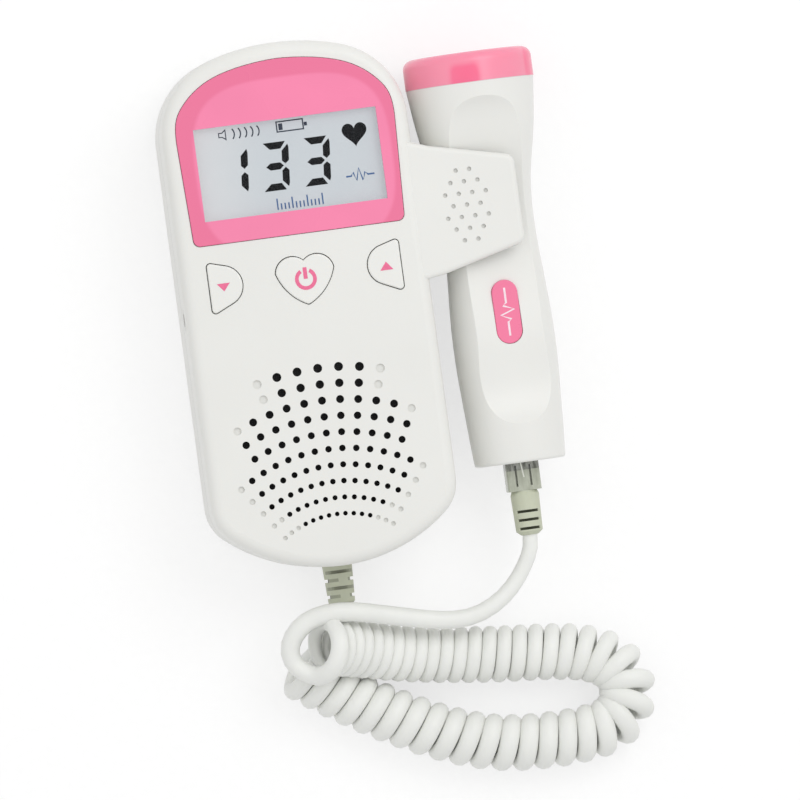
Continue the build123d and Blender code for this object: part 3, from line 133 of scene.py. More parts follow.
class Tree:
    """Node tree whose nodes are all made by one method."""

    def __init__(self, tree):
        self.tree = tree

    def node(self, kind, sockets=None, settings=None, output=0):
        """Add a node, set it up, and give its sockets their values or wires.

        The result is the wire of one output, or None where the node has none.
        """
        made = self.tree.nodes.new(kind)
        for key, value in (settings or {}).items():
            if key == "stops":
                self.set_stops(made.color_ramp, value)
            else:
                setattr(made, key, value)
        for key, value in (sockets or {}).items():
            place = made.inputs[key]
            if isinstance(value, Wire):
                self.tree.links.new(value.socket, place)
            elif place.type == "RGBA" and len(value) == 3:
                place.default_value = (*value, 1.0)
            else:
                place.default_value = value
        return Wire(self, made.outputs[output]) if len(made.outputs) else None

    @staticmethod
    def set_stops(ramp, stops):
        """Give a colour ramp its stops, each a place and a colour."""
        while len(ramp.elements) > 1:
            ramp.elements.remove(ramp.elements[-1])
        for index, (place, colour) in enumerate(stops):
            stop = ramp.elements[0] if index == 0 else ramp.elements.new(place)
            stop.position = place
            stop.color = (*colour, 1.0)


class Finish(Tree):
    """One material, with the patterns that its surfaces share."""

    def __init__(self, name):
        self.material = bpy.data.materials.new(name)
        self.material.use_nodes = True
        self.material.node_tree.nodes.clear()
        super().__init__(self.material.node_tree)
        self.place = self.node("ShaderNodeTexCoord", output=3)

    def centred(self, centre):
        """Object coordinates measured from a point."""
        return self.node("ShaderNodeVectorMath", {0: self.place, 1: tuple(centre)},
                         {"operation": "SUBTRACT"})

    def axis(self, letter, where=None):
        """One coordinate of a place."""
        return self.node("ShaderNodeSeparateXYZ", {0: where or self.place},
                         output="XYZ".index(letter))

    def noise(self, size, detail=2.0, roughness=0.5, stretch=(1, 1, 1)):
        """Noise from 0 to 1 whose spots are about size across."""
        scaled = self.node("ShaderNodeMapping", {"Vector": self.place, "Scale": stretch})
        return self.node("ShaderNodeTexNoise", {
            "Vector": scaled, "Scale": 1 / size, "Detail": detail, "Roughness": roughness})

    def ramp(self, factor, stops, interpolation="LINEAR"):
        """Colours along a factor."""
        made = self.node("ShaderNodeValToRGB", {"Fac": factor}, {"stops": stops})
        made.socket.node.color_ramp.interpolation = interpolation
        return made

    def blend(self, factor, first, second):
        """Colour between two colours."""
        return self.node("ShaderNodeMix", {0: factor, 6: first, 7: second},
                         {"data_type": "RGBA"}, output=2)

    def smooth(self, value, low, high):
        """0 below low, 1 above high, smooth between them."""
        return self.node("ShaderNodeMapRange", {"Value": value, "From Min": low, "From Max": high},
                         {"interpolation_type": "SMOOTHSTEP"})

    def bump(self, height, distance, strength=1.0, under=None):
        """Normal of a height pattern."""
        sockets = {"Height": height, "Distance": distance, "Strength": strength}
        if under is not None:
            sockets["Normal"] = under
        return self.node("ShaderNodeBump", sockets)

    def surface(self, colour, rough, **others):
        """The material, ended in one shader; its other sockets' names have _ for a space."""
        named = {key.replace("_", " "): value for key, value in others.items()}
        self.show(self.node("ShaderNodeBsdfPrincipled",
                            {"Base Color": colour, "Roughness": rough, **named}))
        return self.material

    def show(self, shader):
        """Send a shader to the output."""
        self.node("ShaderNodeOutputMaterial", {"Surface": shader})


# ---- Finishes ----

# Depths below the brim between which a hole takes a pale painted shade, and then a dark painted shade
PALE_SHADE_DEPTHS = (0.05 * MM, 0.60 * MM)
DARK_SHADE_DEPTHS = (0.70 * MM, 0.80 * MM)

# The display frame's paler field, a rounded square: its middle, half sizes and squareness
FIELD_CENTRE = (UNIT_X + 1.0 * MM, 36.0 * MM, 0)
FIELD_HALF = (25.2 * MM, 22.3 * MM)
FIELD_SQUARENESS = 3.2

# Middle of the probe's cap
CAP_CENTRE = (PROBE_X, 54.5 * MM, PROBE_Z)

# Length of the clear plug that stands out of the handle
PLUG_SHOWN = 7.3 * MM


def satin_plastic(name, colour, rough=0.42, grain=0.35 * MM, depth=0.010 * MM, tint=0.03, soft=0.0,
                  seam=None, pits=()):
    """Moulded plastic with a fine spark-eroded grain and faint flow marks.

    It may have a parting line at a height, and pits: fans of holes (middle, half width, apex, low
    end, high end, spread), each with its brim's height and the colours of the painted shade in its
    shallow and deep places.
    """
    finish = Finish(name)
    flow = finish.noise(38 * MM, 3.0, 0.6)
    shade = finish.ramp(flow, [(0.3, shaded(colour, 1 - tint)), (0.7, colour)])
    fine = finish.noise(grain, 2.0, 0.6)
    normal = finish.bump(fine, depth, 0.5)
    if seam is not None:
        line = finish.smooth(abs(finish.axis("Z") - seam), 0.07 * MM, 0.20 * MM)
        shade = finish.blend(line, shaded(colour, 0.42), shade)
        normal = finish.bump(line, 0.15 * MM, 0.6, normal)
    for (centre, half_width, apex, low, high, spread), brim, pale_shade, dark in pits:
        across = abs(finish.axis("X") - centre)
        along = finish.axis("Y")
        inside = ((across < half_width) * (along > low) * (along < high)
                  * (across < (along - apex) * spread))
        # Painted shade inside the holes: pale just below the brim, dark deeper down
        for (near, far), there in ((PALE_SHADE_DEPTHS, pale_shade), (DARK_SHADE_DEPTHS, dark)):
            below = 1 - finish.smooth(finish.axis("Z"), brim - far, brim - near)
            shade = finish.blend(inside * below, shade, there)
    rubbed = finish.noise(9 * MM, 4.0, 0.7)
    return finish.surface(shade, rough - 0.05 + 0.10 * rubbed, Normal=normal, Subsurface_Weight=soft,
                          Subsurface_Radius=(0.9, 0.8, 0.7), Subsurface_Scale=1.2 * MM,
                          Specular_IOR_Level=0.45)


def bezel_plastic(name, deep, pale):
    """Satin pink: a paler rounded field in the middle, deeper towards the edge."""
    finish = Finish(name)
    where = finish.centred(FIELD_CENTRE)
    across = abs(finish.axis("X", where)) / FIELD_HALF[0]
    along = abs(finish.axis("Y", where)) / FIELD_HALF[1]
    reach = (across ** FIELD_SQUARENESS + along ** FIELD_SQUARENESS) ** (1 / FIELD_SQUARENESS)
    edge = finish.smooth(reach, 0.98, 1.03)
    drift = finish.noise(16 * MM, 2.0, 0.5)
    inner = finish.ramp(drift, [(0.35, shaded(pale, 0.96)), (0.7, pale)])
    shade = finish.blend(edge, inner, deep)
    fine = finish.noise(0.5 * MM, 2.0)
    return finish.surface(shade, 0.24 + 0.06 * drift, Normal=finish.bump(fine, 0.004 * MM, 0.4),
                          Coat_Weight=0.12, Coat_Roughness=0.2, Specular_IOR_Level=0.3)


def cap_plastic(name, deep, pale):
    """Translucent pink cap: deep where the crystals show through, paler at its sides."""
    finish = Finish(name)
    where = finish.centred(CAP_CENTRE)
    across = finish.axis("X", where)
    along = finish.axis("Y", where)
    core = 1 - finish.smooth(abs(across + 2.4 * MM), 2.0 * MM, 5.0 * MM)
    rise = 1 - finish.smooth(along, -1.0 * MM, 2.4 * MM)
    flank = finish.smooth(across, 13.2 * MM, 14.4 * MM)
    wave = finish.noise(7 * MM, 2.0, 0.5)
    factor = core * rise * 0.8 + flank * 0.55 + wave * 0.2
    shade = finish.ramp(factor, [(0.05, pale), (0.75, deep)], "EASE")
    return finish.surface(shade, 0.27 + 0.06 * wave, Normal=finish.bump(wave, 0.02 * MM, 0.2),
                          Subsurface_Weight=0.2, Subsurface_Radius=(1.0, 0.45, 0.5),
                          Subsurface_Scale=2.0 * MM, Coat_Weight=0.3, Coat_Roughness=0.15,
                          Specular_IOR_Level=0.4)


def lens_plastic(name):
    """Clear window: faint tint, gloss that grows at a low angle, a trace of hairlines."""
    finish = Finish(name)
    hairlines = finish.noise(1.2 * MM, 3.0, 0.7, (1, 14, 1))
    rim = finish.node("ShaderNodeFresnel", {"IOR": 1.46})
    finish.material.surface_render_method = "BLENDED"
    return finish.surface((0.25, 0.27, 0.29), 0.05 + 0.04 * hairlines, Alpha=0.012 + rim * 0.3,
                          Specular_IOR_Level=0.3)


def display_glass(name, middle_tone, side_tone):
    """Backlit display: a cool middle that fades to a warmer, paler left side."""
    finish = Finish(name)
    where = finish.centred((UNIT_X, middle("lcd_panel").y, 0))
    across = finish.axis("X", where)
    side = 1 - finish.smooth(across, -23 * MM, -4 * MM)
    mottle = finish.noise(6 * MM, 2.0, 0.5)
    shade = finish.blend(side * 0.7 + mottle * 0.25, middle_tone, side_tone)
    pixels = finish.noise(0.25 * MM, 1.0)
    dimmed = finish.blend(0.5, shade, (0.0, 0.0, 0.0))
    return finish.surface(dimmed, 0.32 + 0.08 * mottle, Normal=finish.bump(pixels, 0.003 * MM, 0.3),
                          Emission_Color=shade, Emission_Strength=0.5, Specular_IOR_Level=0.25)


def printed_ink(name, colour, rough=0.5):
    """Thin print with slightly uneven cover."""
    finish = Finish(name)
    cover = finish.noise(0.8 * MM, 3.0, 0.6)
    shade = finish.ramp(cover, [(0.3, tuple(min(1.0, c * 1.12 + 0.004) for c in colour)), (0.6, colour)])
    return finish.surface(shade, rough + 0.08 * cover, Normal=finish.bump(cover, 0.004 * MM, 0.3),
                          Specular_IOR_Level=0.1)


def soft_cord(name, colour, shade_colour):
    """Smooth flexible sheath with a fine grain and handling dullness."""
    finish = Finish(name)
    worn = finish.noise(14 * MM, 3.0, 0.6)
    shade = finish.ramp(worn, [(0.3, shade_colour), (0.65, colour)])
    fine = finish.noise(0.4 * MM, 3.0, 0.7)
    return finish.surface(shade, 0.40 + 0.12 * worn, Normal=finish.bump(fine, 0.008 * MM, 0.35),
                          Subsurface_Weight=0.15, Subsurface_Radius=(0.9, 0.9, 0.8),
                          Subsurface_Scale=1.0 * MM, Specular_IOR_Level=0.4)


def relief_plastic(name, colour, dark, node, inner, taper, marks=()):
    """Soft beige sleeve with painted shade: slots and grooves below its tapered skin are painted dark,
    except within its end millimetre.

    The skin has a radius at the sleeve's middle and a taper. Marks are shut slots, drawn as painted
    shade on the upper side: their low and high ends, and their left and right ones.
    """
    finish = Finish(name)
    fine = finish.noise(0.35 * MM, 2.0)
    drift = finish.noise(5 * MM, 3.0, 0.6)
    shade = finish.ramp(drift, [(0.3, shaded(colour, 0.93)), (0.7, colour)])
    centre = middle(node)
    across = finish.axis("X") - centre.x
    height = finish.axis("Z") - centre.z
    along = finish.axis("Y")
    radius = (across * across + height * height) ** 0.5
    skin = finish.smooth(radius - inner - (along - centre.y) * taper, -0.12 * MM, 0.10 * MM)
    reach = centre.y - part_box(node)[0][1]
    ends = finish.smooth(abs(along - centre.y), reach - 1.15 * MM, reach - 1.0 * MM)
    # Painted shade: grooves below the skin take the dark colour, except near the ends
    shade = finish.blend(skin.math("MAXIMUM", ends), dark, shade)
    faint = tuple((c + d) / 2 for c, d in zip(colour, dark))
    # Painted shade of the shut slots, halfway to the dark colour
    for low, high, left, right in marks:
        slot = (along > low) * (along < high) * (across > left) * (across < right) * (height > 0)
        shade = finish.blend(slot * 0.85, shade, faint)
    return finish.surface(shade, 0.5 + 0.1 * drift, Normal=finish.bump(fine, 0.01 * MM, 0.4),
                          Subsurface_Weight=0.1, Subsurface_Radius=(1.0, 0.9, 0.6),
                          Subsurface_Scale=0.8 * MM)


def clear_plug_plastic(name):
    """Clear plug body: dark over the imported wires, smoky towards its end, with one bright slit."""
    finish = Finish(name)
    low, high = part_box("modular_plug")
    lines = finish.noise(1.3 * MM, 4.0, 0.65, (1, 0.3, 1))
    smoky = finish.ramp(lines, [(0.3, tone(172, 176, 158)), (0.7, tone(196, 200, 184))])
    packed = finish.ramp(lines, [(0.35, tone(92, 94, 84)), (0.62, tone(178, 180, 172))])
    depth = low[1] + PLUG_SHOWN - finish.axis("Y")
    shade = finish.blend(finish.smooth(depth, 1.8 * MM, 2.1 * MM), packed, smoky)
    aside = abs(finish.axis("X") - (low[0] + high[0]) / 2 + 0.35 * MM - depth * 0.12)
    slit = (aside < 0.17 * MM) * (depth < 3.8 * MM)
    shade = finish.blend(slit, shade, tone(240, 242, 232))
    finish.material.surface_render_method = "BLENDED"
    return finish.surface(shade, 0.20 + 0.08 * lines, Alpha=0.86 + 0.08 * lines,
                          Normal=finish.bump(lines, 0.02 * MM, 0.3), Coat_Weight=0.3,
                          Coat_Roughness=0.1)


def plated_metal(name, colour, rough=0.3):
    """Plated or drawn metal with fine marks and dull spots."""
    finish = Finish(name)
    marks = finish.noise(0.6 * MM, 4.0, 0.7)
    spots = finish.noise(4 * MM, 3.0, 0.6)
    shade = finish.ramp(spots, [(0.3, shaded(colour, 0.82)), (0.65, colour)])
    return finish.surface(shade, rough - 0.06 + 0.16 * spots, Metallic=0.96,
                          Normal=finish.bump(marks, 0.006 * MM, 0.4))


def board_laminate(name, mask, trace):
    """Circuit board: solder mask with raised tracks and tinned pads."""
    finish = Finish(name)
    where = finish.node("ShaderNodeMapping", {"Vector": finish.place, "Scale": (1, 1, 0)})
    tracks = finish.node("ShaderNodeTexBrick", {
        "Vector": where, "Color1": (1, 1, 1), "Color2": (0.8, 0.8, 0.8), "Mortar": (0, 0, 0),
        "Scale": 1.0, "Mortar Size": 0.22 * MM, "Brick Width": 3.7 * MM, "Row Height": 1.27 * MM,
    }, {"offset": 0.37}, output=1)
    pads = finish.node("ShaderNodeTexVoronoi", {"Vector": where, "Scale": 1 / (3.3 * MM)})
    pad = pads < 0.16
    shade = finish.blend(tracks, mask, trace)
    shade = finish.blend(pad, shade, tone(196, 198, 194))
    return finish.surface(shade, 0.34 - 0.08 * tracks, Metallic=pad * 0.9,
                          Normal=finish.bump(tracks, 0.03 * MM, 0.6))


def chip_resin(name):
    """Moulded chip packages: black resin with tinned ends."""
    finish = Finish(name)
    grit = finish.noise(0.3 * MM, 3.0, 0.7)
    ends = finish.smooth(finish.noise(2.2 * MM, 1.0), 0.62, 0.66)
    shade = finish.blend(ends, tone(38, 38, 41), tone(112, 112, 110))
    return finish.surface(shade, 0.55 + 0.1 * grit, Metallic=ends * 0.6,
                          Normal=finish.bump(grit, 0.01 * MM, 0.5))


def woven_cloth(name, colour, thread):
    """Acoustic cloth: two sets of crossing threads."""
    finish = Finish(name)
    pitch = 2 * math.pi / thread
    warp = (finish.axis("X") * pitch).sine()
    weft = (finish.axis("Y") * pitch).sine()
    weave = 0.5 + 0.25 * (warp * weft) + 0.12 * warp + 0.12 * weft
    shade = finish.ramp(weave, [(0.2, shaded(colour, 0.3)), (0.8, colour)])
    return finish.surface(shade, 0.85 - 0.1 * weave, Normal=finish.bump(weave, 0.08 * MM, 0.8),
                          Sheen_Weight=0.15, Sheen_Roughness=0.5)


def cell_jacket(name, colour, band):
    """Battery cells: satin jacket, a plain band near each end, and rolled metal ends."""
    finish = Finish(name)
    low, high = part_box("battery_left")
    off_middle = abs(finish.axis("Y") - (low[1] + high[1]) / 2)
    ends = finish.smooth(off_middle, 22.6 * MM, 22.9 * MM)
    stripe = finish.smooth(off_middle, 13.0 * MM, 13.3 * MM)
    drift = finish.noise(10 * MM, 2.0)
    shade = finish.blend(stripe, colour, band)
    shade = finish.blend(ends, shade, tone(190, 190, 188))
    return finish.surface(shade, 0.28 + 0.1 * drift, Metallic=0.45 + 0.4 * ends,
                          Normal=finish.bump(drift, 0.03 * MM, 0.2))


def rubber(name, colour):
    """Matt rubber with moulding dust."""
    finish = Finish(name)
    dust = finish.noise(1.0 * MM, 5.0, 0.75)
    shade = finish.ramp(dust, [(0.35, shaded(colour, 0.8)), (0.7, colour)])
    return finish.surface(shade, 0.75 + 0.12 * dust, Normal=finish.bump(dust, 0.02 * MM, 0.5),
                          Specular_IOR_Level=0.3)


def speaker_paper(name, colour):
    """Pressed speaker cone: rings round its middle and paper fibre."""
    finish = Finish(name)
    where = finish.centred(middle("loudspeaker_cone"))
    across = finish.axis("X", where)
    along = finish.axis("Y", where)
    rings = (((across * across + along * along) ** 0.5) * (2 * math.pi / (1.4 * MM))).sine()
    fibre = finish.noise(0.5 * MM, 4.0, 0.7, (1, 3, 1))
    shade = finish.ramp(fibre, [(0.3, shaded(colour, 0.6)), (0.7, colour)])
    return finish.surface(shade, 0.78 + 0.1 * fibre, Normal=finish.bump(rings, 0.05 * MM, 0.5))


# ---- Meshes ----


def link(name, data):
    """Object of a mesh or curve, in the scene."""
    piece = bpy.data.objects.new(name, data)
    bpy.context.scene.collection.objects.link(piece)
    return piece


def level(height):
    """Placement of unit-centred flat work at a height."""
    return Matrix.Translation((UNIT_X, 0, height))


def flat_print(name, loops, place, thickness, material):
    """Thin raised print from closed loops of millimetre points, holes included, on a placed plane."""
    curve = bpy.data.curves.new(name, "CURVE")
    curve.dimensions = "2D"
    curve.fill_mode = "BOTH"
    curve.extrude = thickness / 2
    for loop in loops:
        spline = curve.splines.new("POLY")
        spline.points.add(len(loop) - 1)
        for point, (x, y) in zip(spline.points, loop):
            point.co = (x * MM, y * MM, 0, 1)
        spline.use_cyclic_u = True
    drawn = link(name + "_outline", curve)
    mesh = bpy.data.meshes.new_from_object(drawn)
    bpy.data.objects.remove(drawn)
    mesh.name = name
    mesh.transform(place @ Matrix.Translation((0, 0, thickness / 2)))
    mesh.materials.clear()
    mesh.materials.append(material)
    return link(name, mesh)


def arc_points(centre, radius, start, end, steps):
    """Points of an arc, in degrees from the +X side."""
    turns = [math.radians(start + (end - start) * i / steps) for i in range(steps + 1)]
    return [(centre[0] + radius * math.cos(t), centre[1] + radius * math.sin(t)) for t in turns]


def band(points, width):
    """Closed loop that follows an open line at a constant width."""
    left, right = [], []
    for index, point in enumerate(points):
        before = Vector(points[max(index - 1, 0)])
        after = Vector(points[min(index + 1, len(points) - 1)])
        along = (after - before).normalized()
        side = Vector((-along.y, along.x)) * width / 2
        left.append(tuple(Vector(point) + side))
        right.append(tuple(Vector(point) - side))
    return left + right[::-1]


def rectangle(left, low, right, high):
    """Closed loop of a rectangle."""
    return [(left, low), (right, low), (right, high), (left, high)]


def heart_points(centre, width, height, steps=48):
    """Outline of a heart that fills a box round its centre."""
    points = []
    for i in range(steps):
        t = 2 * math.pi * i / steps
        x = math.sin(t) ** 3
        y = (13 * math.cos(t) - 5 * math.cos(2 * t) - 2 * math.cos(3 * t) - math.cos(4 * t) + 2.5) / 14.5
        points.append((centre[0] + x * width / 2, centre[1] + y * height / 2))
    return points


def digit_segments(left, low, width, height, stroke, gap, lean, lit):
    """Bars of one leaning seven-bar digit, each a closed loop with blunt ends."""
    half = height / 2
    shoulder = width - stroke - 1.2 * gap
    high_bar = [(width - 0.6 * gap, 1.8 * gap), (width, 4 * gap), (width, half - 3 * gap),
                (width - stroke / 2, half - gap), (width - stroke, half - 3 * gap),
                (width - stroke, stroke + 1.4 * gap)]
    top_bar = [(0, 0), (width - 2 * gap, 0), (width - 2 * gap - 0.7 * stroke, stroke), (stroke, stroke)]
    bars = {
        "top": [(x, height - y) for x, y in top_bar],
        "bottom": top_bar,
        "middle": [(1.6 * gap, half), (stroke, half + stroke / 2), (shoulder, half + stroke / 2),
                   (width - 3.3 * gap, half), (shoulder, half - stroke / 2), (stroke, half - stroke / 2)],
        "high": [(x, height - y) for x, y in high_bar],
        "low": high_bar,
    }
    return [[(left + x + lean * y, low + y) for x, y in bars[name]] for name in lit]


# ---- Rules for what repeats ----


def rule_group(name, inputs):
    """Geometry node group with named inputs, one more for a material, and one geometry output."""
    group = bpy.data.node_groups.new(name, "GeometryNodeTree")
    for label, value in inputs.items():
        kind = "NodeSocketInt" if isinstance(value, int) else "NodeSocketFloat"
        group.interface.new_socket(label, in_out="INPUT", socket_type=kind).default_value = value
    group.interface.new_socket("Material", in_out="INPUT", socket_type="NodeSocketMaterial")
    group.interface.new_socket("Geometry", in_out="OUTPUT", socket_type="NodeSocketGeometry")
    tree = Tree(group)
    source = group.nodes.new("NodeGroupInput")
    return group, tree, {label: Wire(tree, source.outputs[label]) for label in (*inputs, "Material")}


def rule_piece(name, group, values, place):
    """Plain mesh of a rule's result, moved to its place."""
    holder = link(name + "_rule", bpy.data.meshes.new(name + "_rule"))
    modifier = holder.modifiers.new("rule", "NODES")
    modifier.node_group = group
    for item in group.interface.items_tree:
        if item.in_out == "INPUT" and item.name in values:
            modifier[item.identifier] = values[item.name]
    seen = holder.evaluated_get(bpy.context.evaluated_depsgraph_get())
    mesh = bpy.data.meshes.new_from_object(seen)
    holder.modifiers.clear()
    bpy.data.objects.remove(holder)
    if not mesh.polygons:
        raise RuntimeError(name + " came out empty")
    mesh.name = name
    mesh.transform(Matrix.Translation(place))
    return link(name, mesh)


def close_rule(tree, shape, material):
    """End a rule's tree with real geometry and its material."""
    real = tree.node("GeometryNodeRealizeInstances", {0: shape})
    painted = tree.node("GeometryNodeSetMaterial", {"Geometry": real, "Material": material})
    tree.node("NodeGroupOutput", {"Geometry": painted})


def sound_arcs_rule():
    """Row of equal arcs, as drawn beside a loudspeaker sign."""
    group, tree, wire = rule_group("sound_arcs", {
        "Count": 5, "Spacing": 1.6 * MM, "Arc Radius": 1.9 * MM, "Half Opening": math.radians(43),
        "Stroke": 0.33 * MM, "Thickness": 0.04 * MM})
    arc = tree.node("GeometryNodeCurveArc", {
        "Resolution": 14, "Radius": wire["Arc Radius"], "Start Angle": 0 - wire["Half Opening"],
        "Sweep Angle": wire["Half Opening"] * 2})
    profile = tree.node("GeometryNodeCurvePrimitiveQuadrilateral",
                        {"Width": wire["Stroke"], "Height": wire["Thickness"]})
    drawn = tree.node("GeometryNodeCurveToMesh",
                      {"Curve": arc, "Profile Curve": profile, "Fill Caps": True})
    step = tree.node("ShaderNodeCombineXYZ", {"X": wire["Spacing"]})
    places = tree.node("GeometryNodeMeshLine", {"Count": wire["Count"], "Offset": step})
    row = tree.node("GeometryNodeInstanceOnPoints", {"Points": places, "Instance": drawn})
    close_rule(tree, row, wire["Material"])
    return group


def scale_ticks_rule():
    """Row of upright ticks; every fourth one is taller."""
    group, tree, wire = rule_group("scale_ticks", {
        "Count": 13, "Spacing": 0.97 * MM, "Tall": 2.9 * MM, "Short Share": 0.55,
        "Stroke": 0.36 * MM, "Thickness": 0.04 * MM})
    size = tree.node("ShaderNodeCombineXYZ",
                     {"X": wire["Stroke"], "Y": wire["Tall"], "Z": wire["Thickness"]})
    block = tree.node("GeometryNodeMeshCube", {"Size": size})
    lift = tree.node("ShaderNodeCombineXYZ", {"Y": wire["Tall"] * 0.5})
    tick = tree.node("GeometryNodeTransform", {"Geometry": block, "Translation": lift})
    step = tree.node("ShaderNodeCombineXYZ", {"X": wire["Spacing"]})
    places = tree.node("GeometryNodeMeshLine", {"Count": wire["Count"], "Offset": step})
    index = tree.node("GeometryNodeInputIndex")
    beat = index.math("MODULO", 4.0)
    short = beat > 0.5
    height = 1 - short * (1 - wire["Short Share"])
    scale = tree.node("ShaderNodeCombineXYZ", {"X": 1.0, "Y": height, "Z": 1.0})
    row = tree.node("GeometryNodeInstanceOnPoints",
                    {"Points": places, "Instance": tick, "Scale": scale})
    close_rule(tree, row, wire["Material"])
    return group


# ---- Sizes and colours ----


def size_property(name, description, default, low, high, **unit):
    """Property of one size that a user may change."""
    return bpy.props.FloatProperty(name=name, description=description, default=default,
                                   min=low, max=high, **unit)


LENGTH = {"unit": "LENGTH", "precision": 5}


class DopplerSizes(bpy.types.PropertyGroup):
    """Sizes of the cord and the printed marks."""

    cord_diameter: size_property(
        "Cord Diameter", "Usual thickness of the cord's sheath", 4.5 * MM, 1 * MM, 8 * MM, **LENGTH)
    coil_diameter: size_property(
        "Coil Diameter", "Outside diameter of the cord's turns", 15.1 * MM, 6 * MM, 30 * MM, **LENGTH)
    wire_share: size_property(
        "Wire Share", "Radius of the coiled wire as a share of its pitch", 0.50, 0.3, 0.55)
    digit_height: size_property(
        "Digit Height", "Height of the display's digits in millimetres", 12.35, 5, 20)
    digit_stroke: size_property(
        "Digit Stroke", "Width of a digit's bars in millimetres", 1.8, 0.5, 3)
    print_thickness: size_property(
        "Print Thickness", "Height of print above its surface", 0.04 * MM, 0.01 * MM, 1 * MM, **LENGTH)


def plastic_colour(name, description, default):
    """Property of one colour that a user may change."""
    return bpy.props.FloatVectorProperty(name=name, description=description, default=default,
                                         subtype="COLOR", size=3, min=0, max=1)


class DopplerColours(bpy.types.PropertyGroup):
    """Colours of the plastics and the prints."""

    shell: plastic_colour("Shell", "White plastic of the case and the probe", tone(238, 238, 234))
    pink: plastic_colour("Pink", "Paler pink of the display frame", tone(253, 139, 178))
    deep_pink: plastic_colour("Deep Pink", "Deeper pink at the display frame's edge", tone(241, 122, 160))
    cord: plastic_colour("Cord", "Sheath of the cord", tone(243, 244, 240))
    relief: plastic_colour("Relief", "Strain relief and plug boot", tone(203, 207, 185))
    ink: plastic_colour("Ink", "Dark segments of the display", tone(4, 5, 8))
    blue_ink: plastic_colour("Blue Ink", "Fixed blue print of the display", tone(84, 116, 164))


def sizes():
    return bpy.context.scene.doppler_sizes


def colours():
    return bpy.context.scene.doppler_colours


def paint(material, *nodes):
    """Give CAD nodes a material."""
    for node in nodes:
        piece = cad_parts[node]
        if not piece.material_slots:
            piece.data.materials.append(material)
        for slot in piece.material_slots:
            slot.material = material


# ---- The stage ----

# The camera: what it looks at, the way back to it, its roll, its distance and the width in view
VIEW_CENTRE = Vector((UNIT_X + 19.83 * MM, -27.49 * MM, 33 * MM))
VIEW_WAY = Vector((-0.087, 0.0, 1.0)).normalized()
VIEW_ROLL = 0.134
VIEW_UP = Vector((math.sin(VIEW_ROLL), math.cos(VIEW_ROLL), 0.0))
VIEW_DISTANCE = 3.0
VIEW_WIDTH = 0.20447
# Each lamp's name, place, side length and power
LAMPS = (("key_lamp", (0.45, 0.40, 0.90), 0.65, 3.0), ("fill_lamp", (-0.60, 0.10, 0.80), 0.80, 0.7))
LAMP_TARGET = Vector((0.0, -0.02, 0.02))
WORLD_LIGHT = 0.72
# The floor: grey levels of its paper and its own light, as seen, and the grey that lights the object
PAPER_LOW, PAPER_HIGH, PAPER_GLOW, FLOOR_BOUNCE = 0.36, 0.38, 0.66, 0.84
FLOOR_REACH = 3.0


def seen_ray(tree):
    """1 on rays that show a surface to the camera, straight or by a gloss or a clear piece."""
    seen = tree.node("ShaderNodeLightPath", output="Is Camera Ray")
    for name in ("Is Glossy Ray", "Is Transmission Ray"):
        seen = seen.math("MAXIMUM", tree.node("ShaderNodeLightPath", output=name))
    return seen


class DOPPLER_OT_stage(bpy.types.Operator):
    """Camera, lamps, world and floor."""

    bl_idname = "doppler.stage"
    bl_label = "Build Stage"

    def execute(self, context):
        self.camera(context.scene)
        self.lamps()
        self.world(context.scene)
        self.floor()
        context.scene.view_settings.view_transform = "Standard"
        return {"FINISHED"}

    def camera(self, scene):
        data = bpy.data.cameras.new("view")
        data.angle = 2 * math.atan(VIEW_WIDTH / 2 / VIEW_DISTANCE)
        data.clip_end = 20
        camera = link("view", data)
        right = VIEW_UP.cross(VIEW_WAY).normalized()
        up = VIEW_WAY.cross(right)
        turn = Matrix((right, up, VIEW_WAY)).transposed().to_4x4()
        camera.matrix_world = Matrix.Translation(VIEW_CENTRE + VIEW_WAY * VIEW_DISTANCE) @ turn
        scene.camera = camera

    def lamps(self):
        for name, place, size, power in LAMPS:
            data = bpy.data.lights.new(name, "AREA")
            data.shape = "SQUARE"
            data.size = size
            data.energy = power
            lamp = link(name, data)
            lamp.visible_camera = False
            turn = (Vector(place) - LAMP_TARGET).to_track_quat("Z", "Y")
            lamp.matrix_world = Matrix.Translation(place) @ turn.to_matrix().to_4x4()

    def world(self, scene):
        world = bpy.data.worlds.new("room")
        world.use_nodes = True
        tree = Tree(world.node_tree)
        world.node_tree.nodes.clear()
        plain = tree.node("ShaderNodeBackground", {"Color": (1, 1, 1), "Strength": WORLD_LIGHT})
        white = tree.node("ShaderNodeBackground", {"Color": (1, 1, 1), "Strength": 1.0})
        shader = tree.node("ShaderNodeMixShader", {0: seen_ray(tree), 1: plain, 2: white})
        tree.node("ShaderNodeOutputWorld", {"Surface": shader})
        scene.world = world

    def floor(self):
        finish = Finish("floor_paper")
        fibre = finish.noise(2.0 * MM, 3.0, 0.6)
        shade = finish.ramp(fibre, [(0.3, (PAPER_LOW,) * 3), (0.7, (PAPER_HIGH,) * 3)])
        paper = finish.node("ShaderNodeBsdfDiffuse", {"Color": shade})
        glow = finish.node("ShaderNodeEmission", {"Color": (1, 1, 1), "Strength": PAPER_GLOW})
        lit = finish.node("ShaderNodeAddShader", {0: paper, 1: glow})
        bounce = finish.node("ShaderNodeBsdfDiffuse", {"Color": (FLOOR_BOUNCE,) * 3})
        finish.show(finish.node("ShaderNodeMixShader", {0: seen_ray(finish), 1: bounce, 2: lit}))
        mesh = bpy.data.meshes.new("floor")
        corners = rectangle(-FLOOR_REACH, -FLOOR_REACH, FLOOR_REACH, FLOOR_REACH)
        mesh.from_pydata([(x, y, 0) for x, y in corners], [], [(0, 1, 2, 3)])
        mesh.materials.append(finish.material)
        link("floor", mesh)


# ---- The curly cord ----

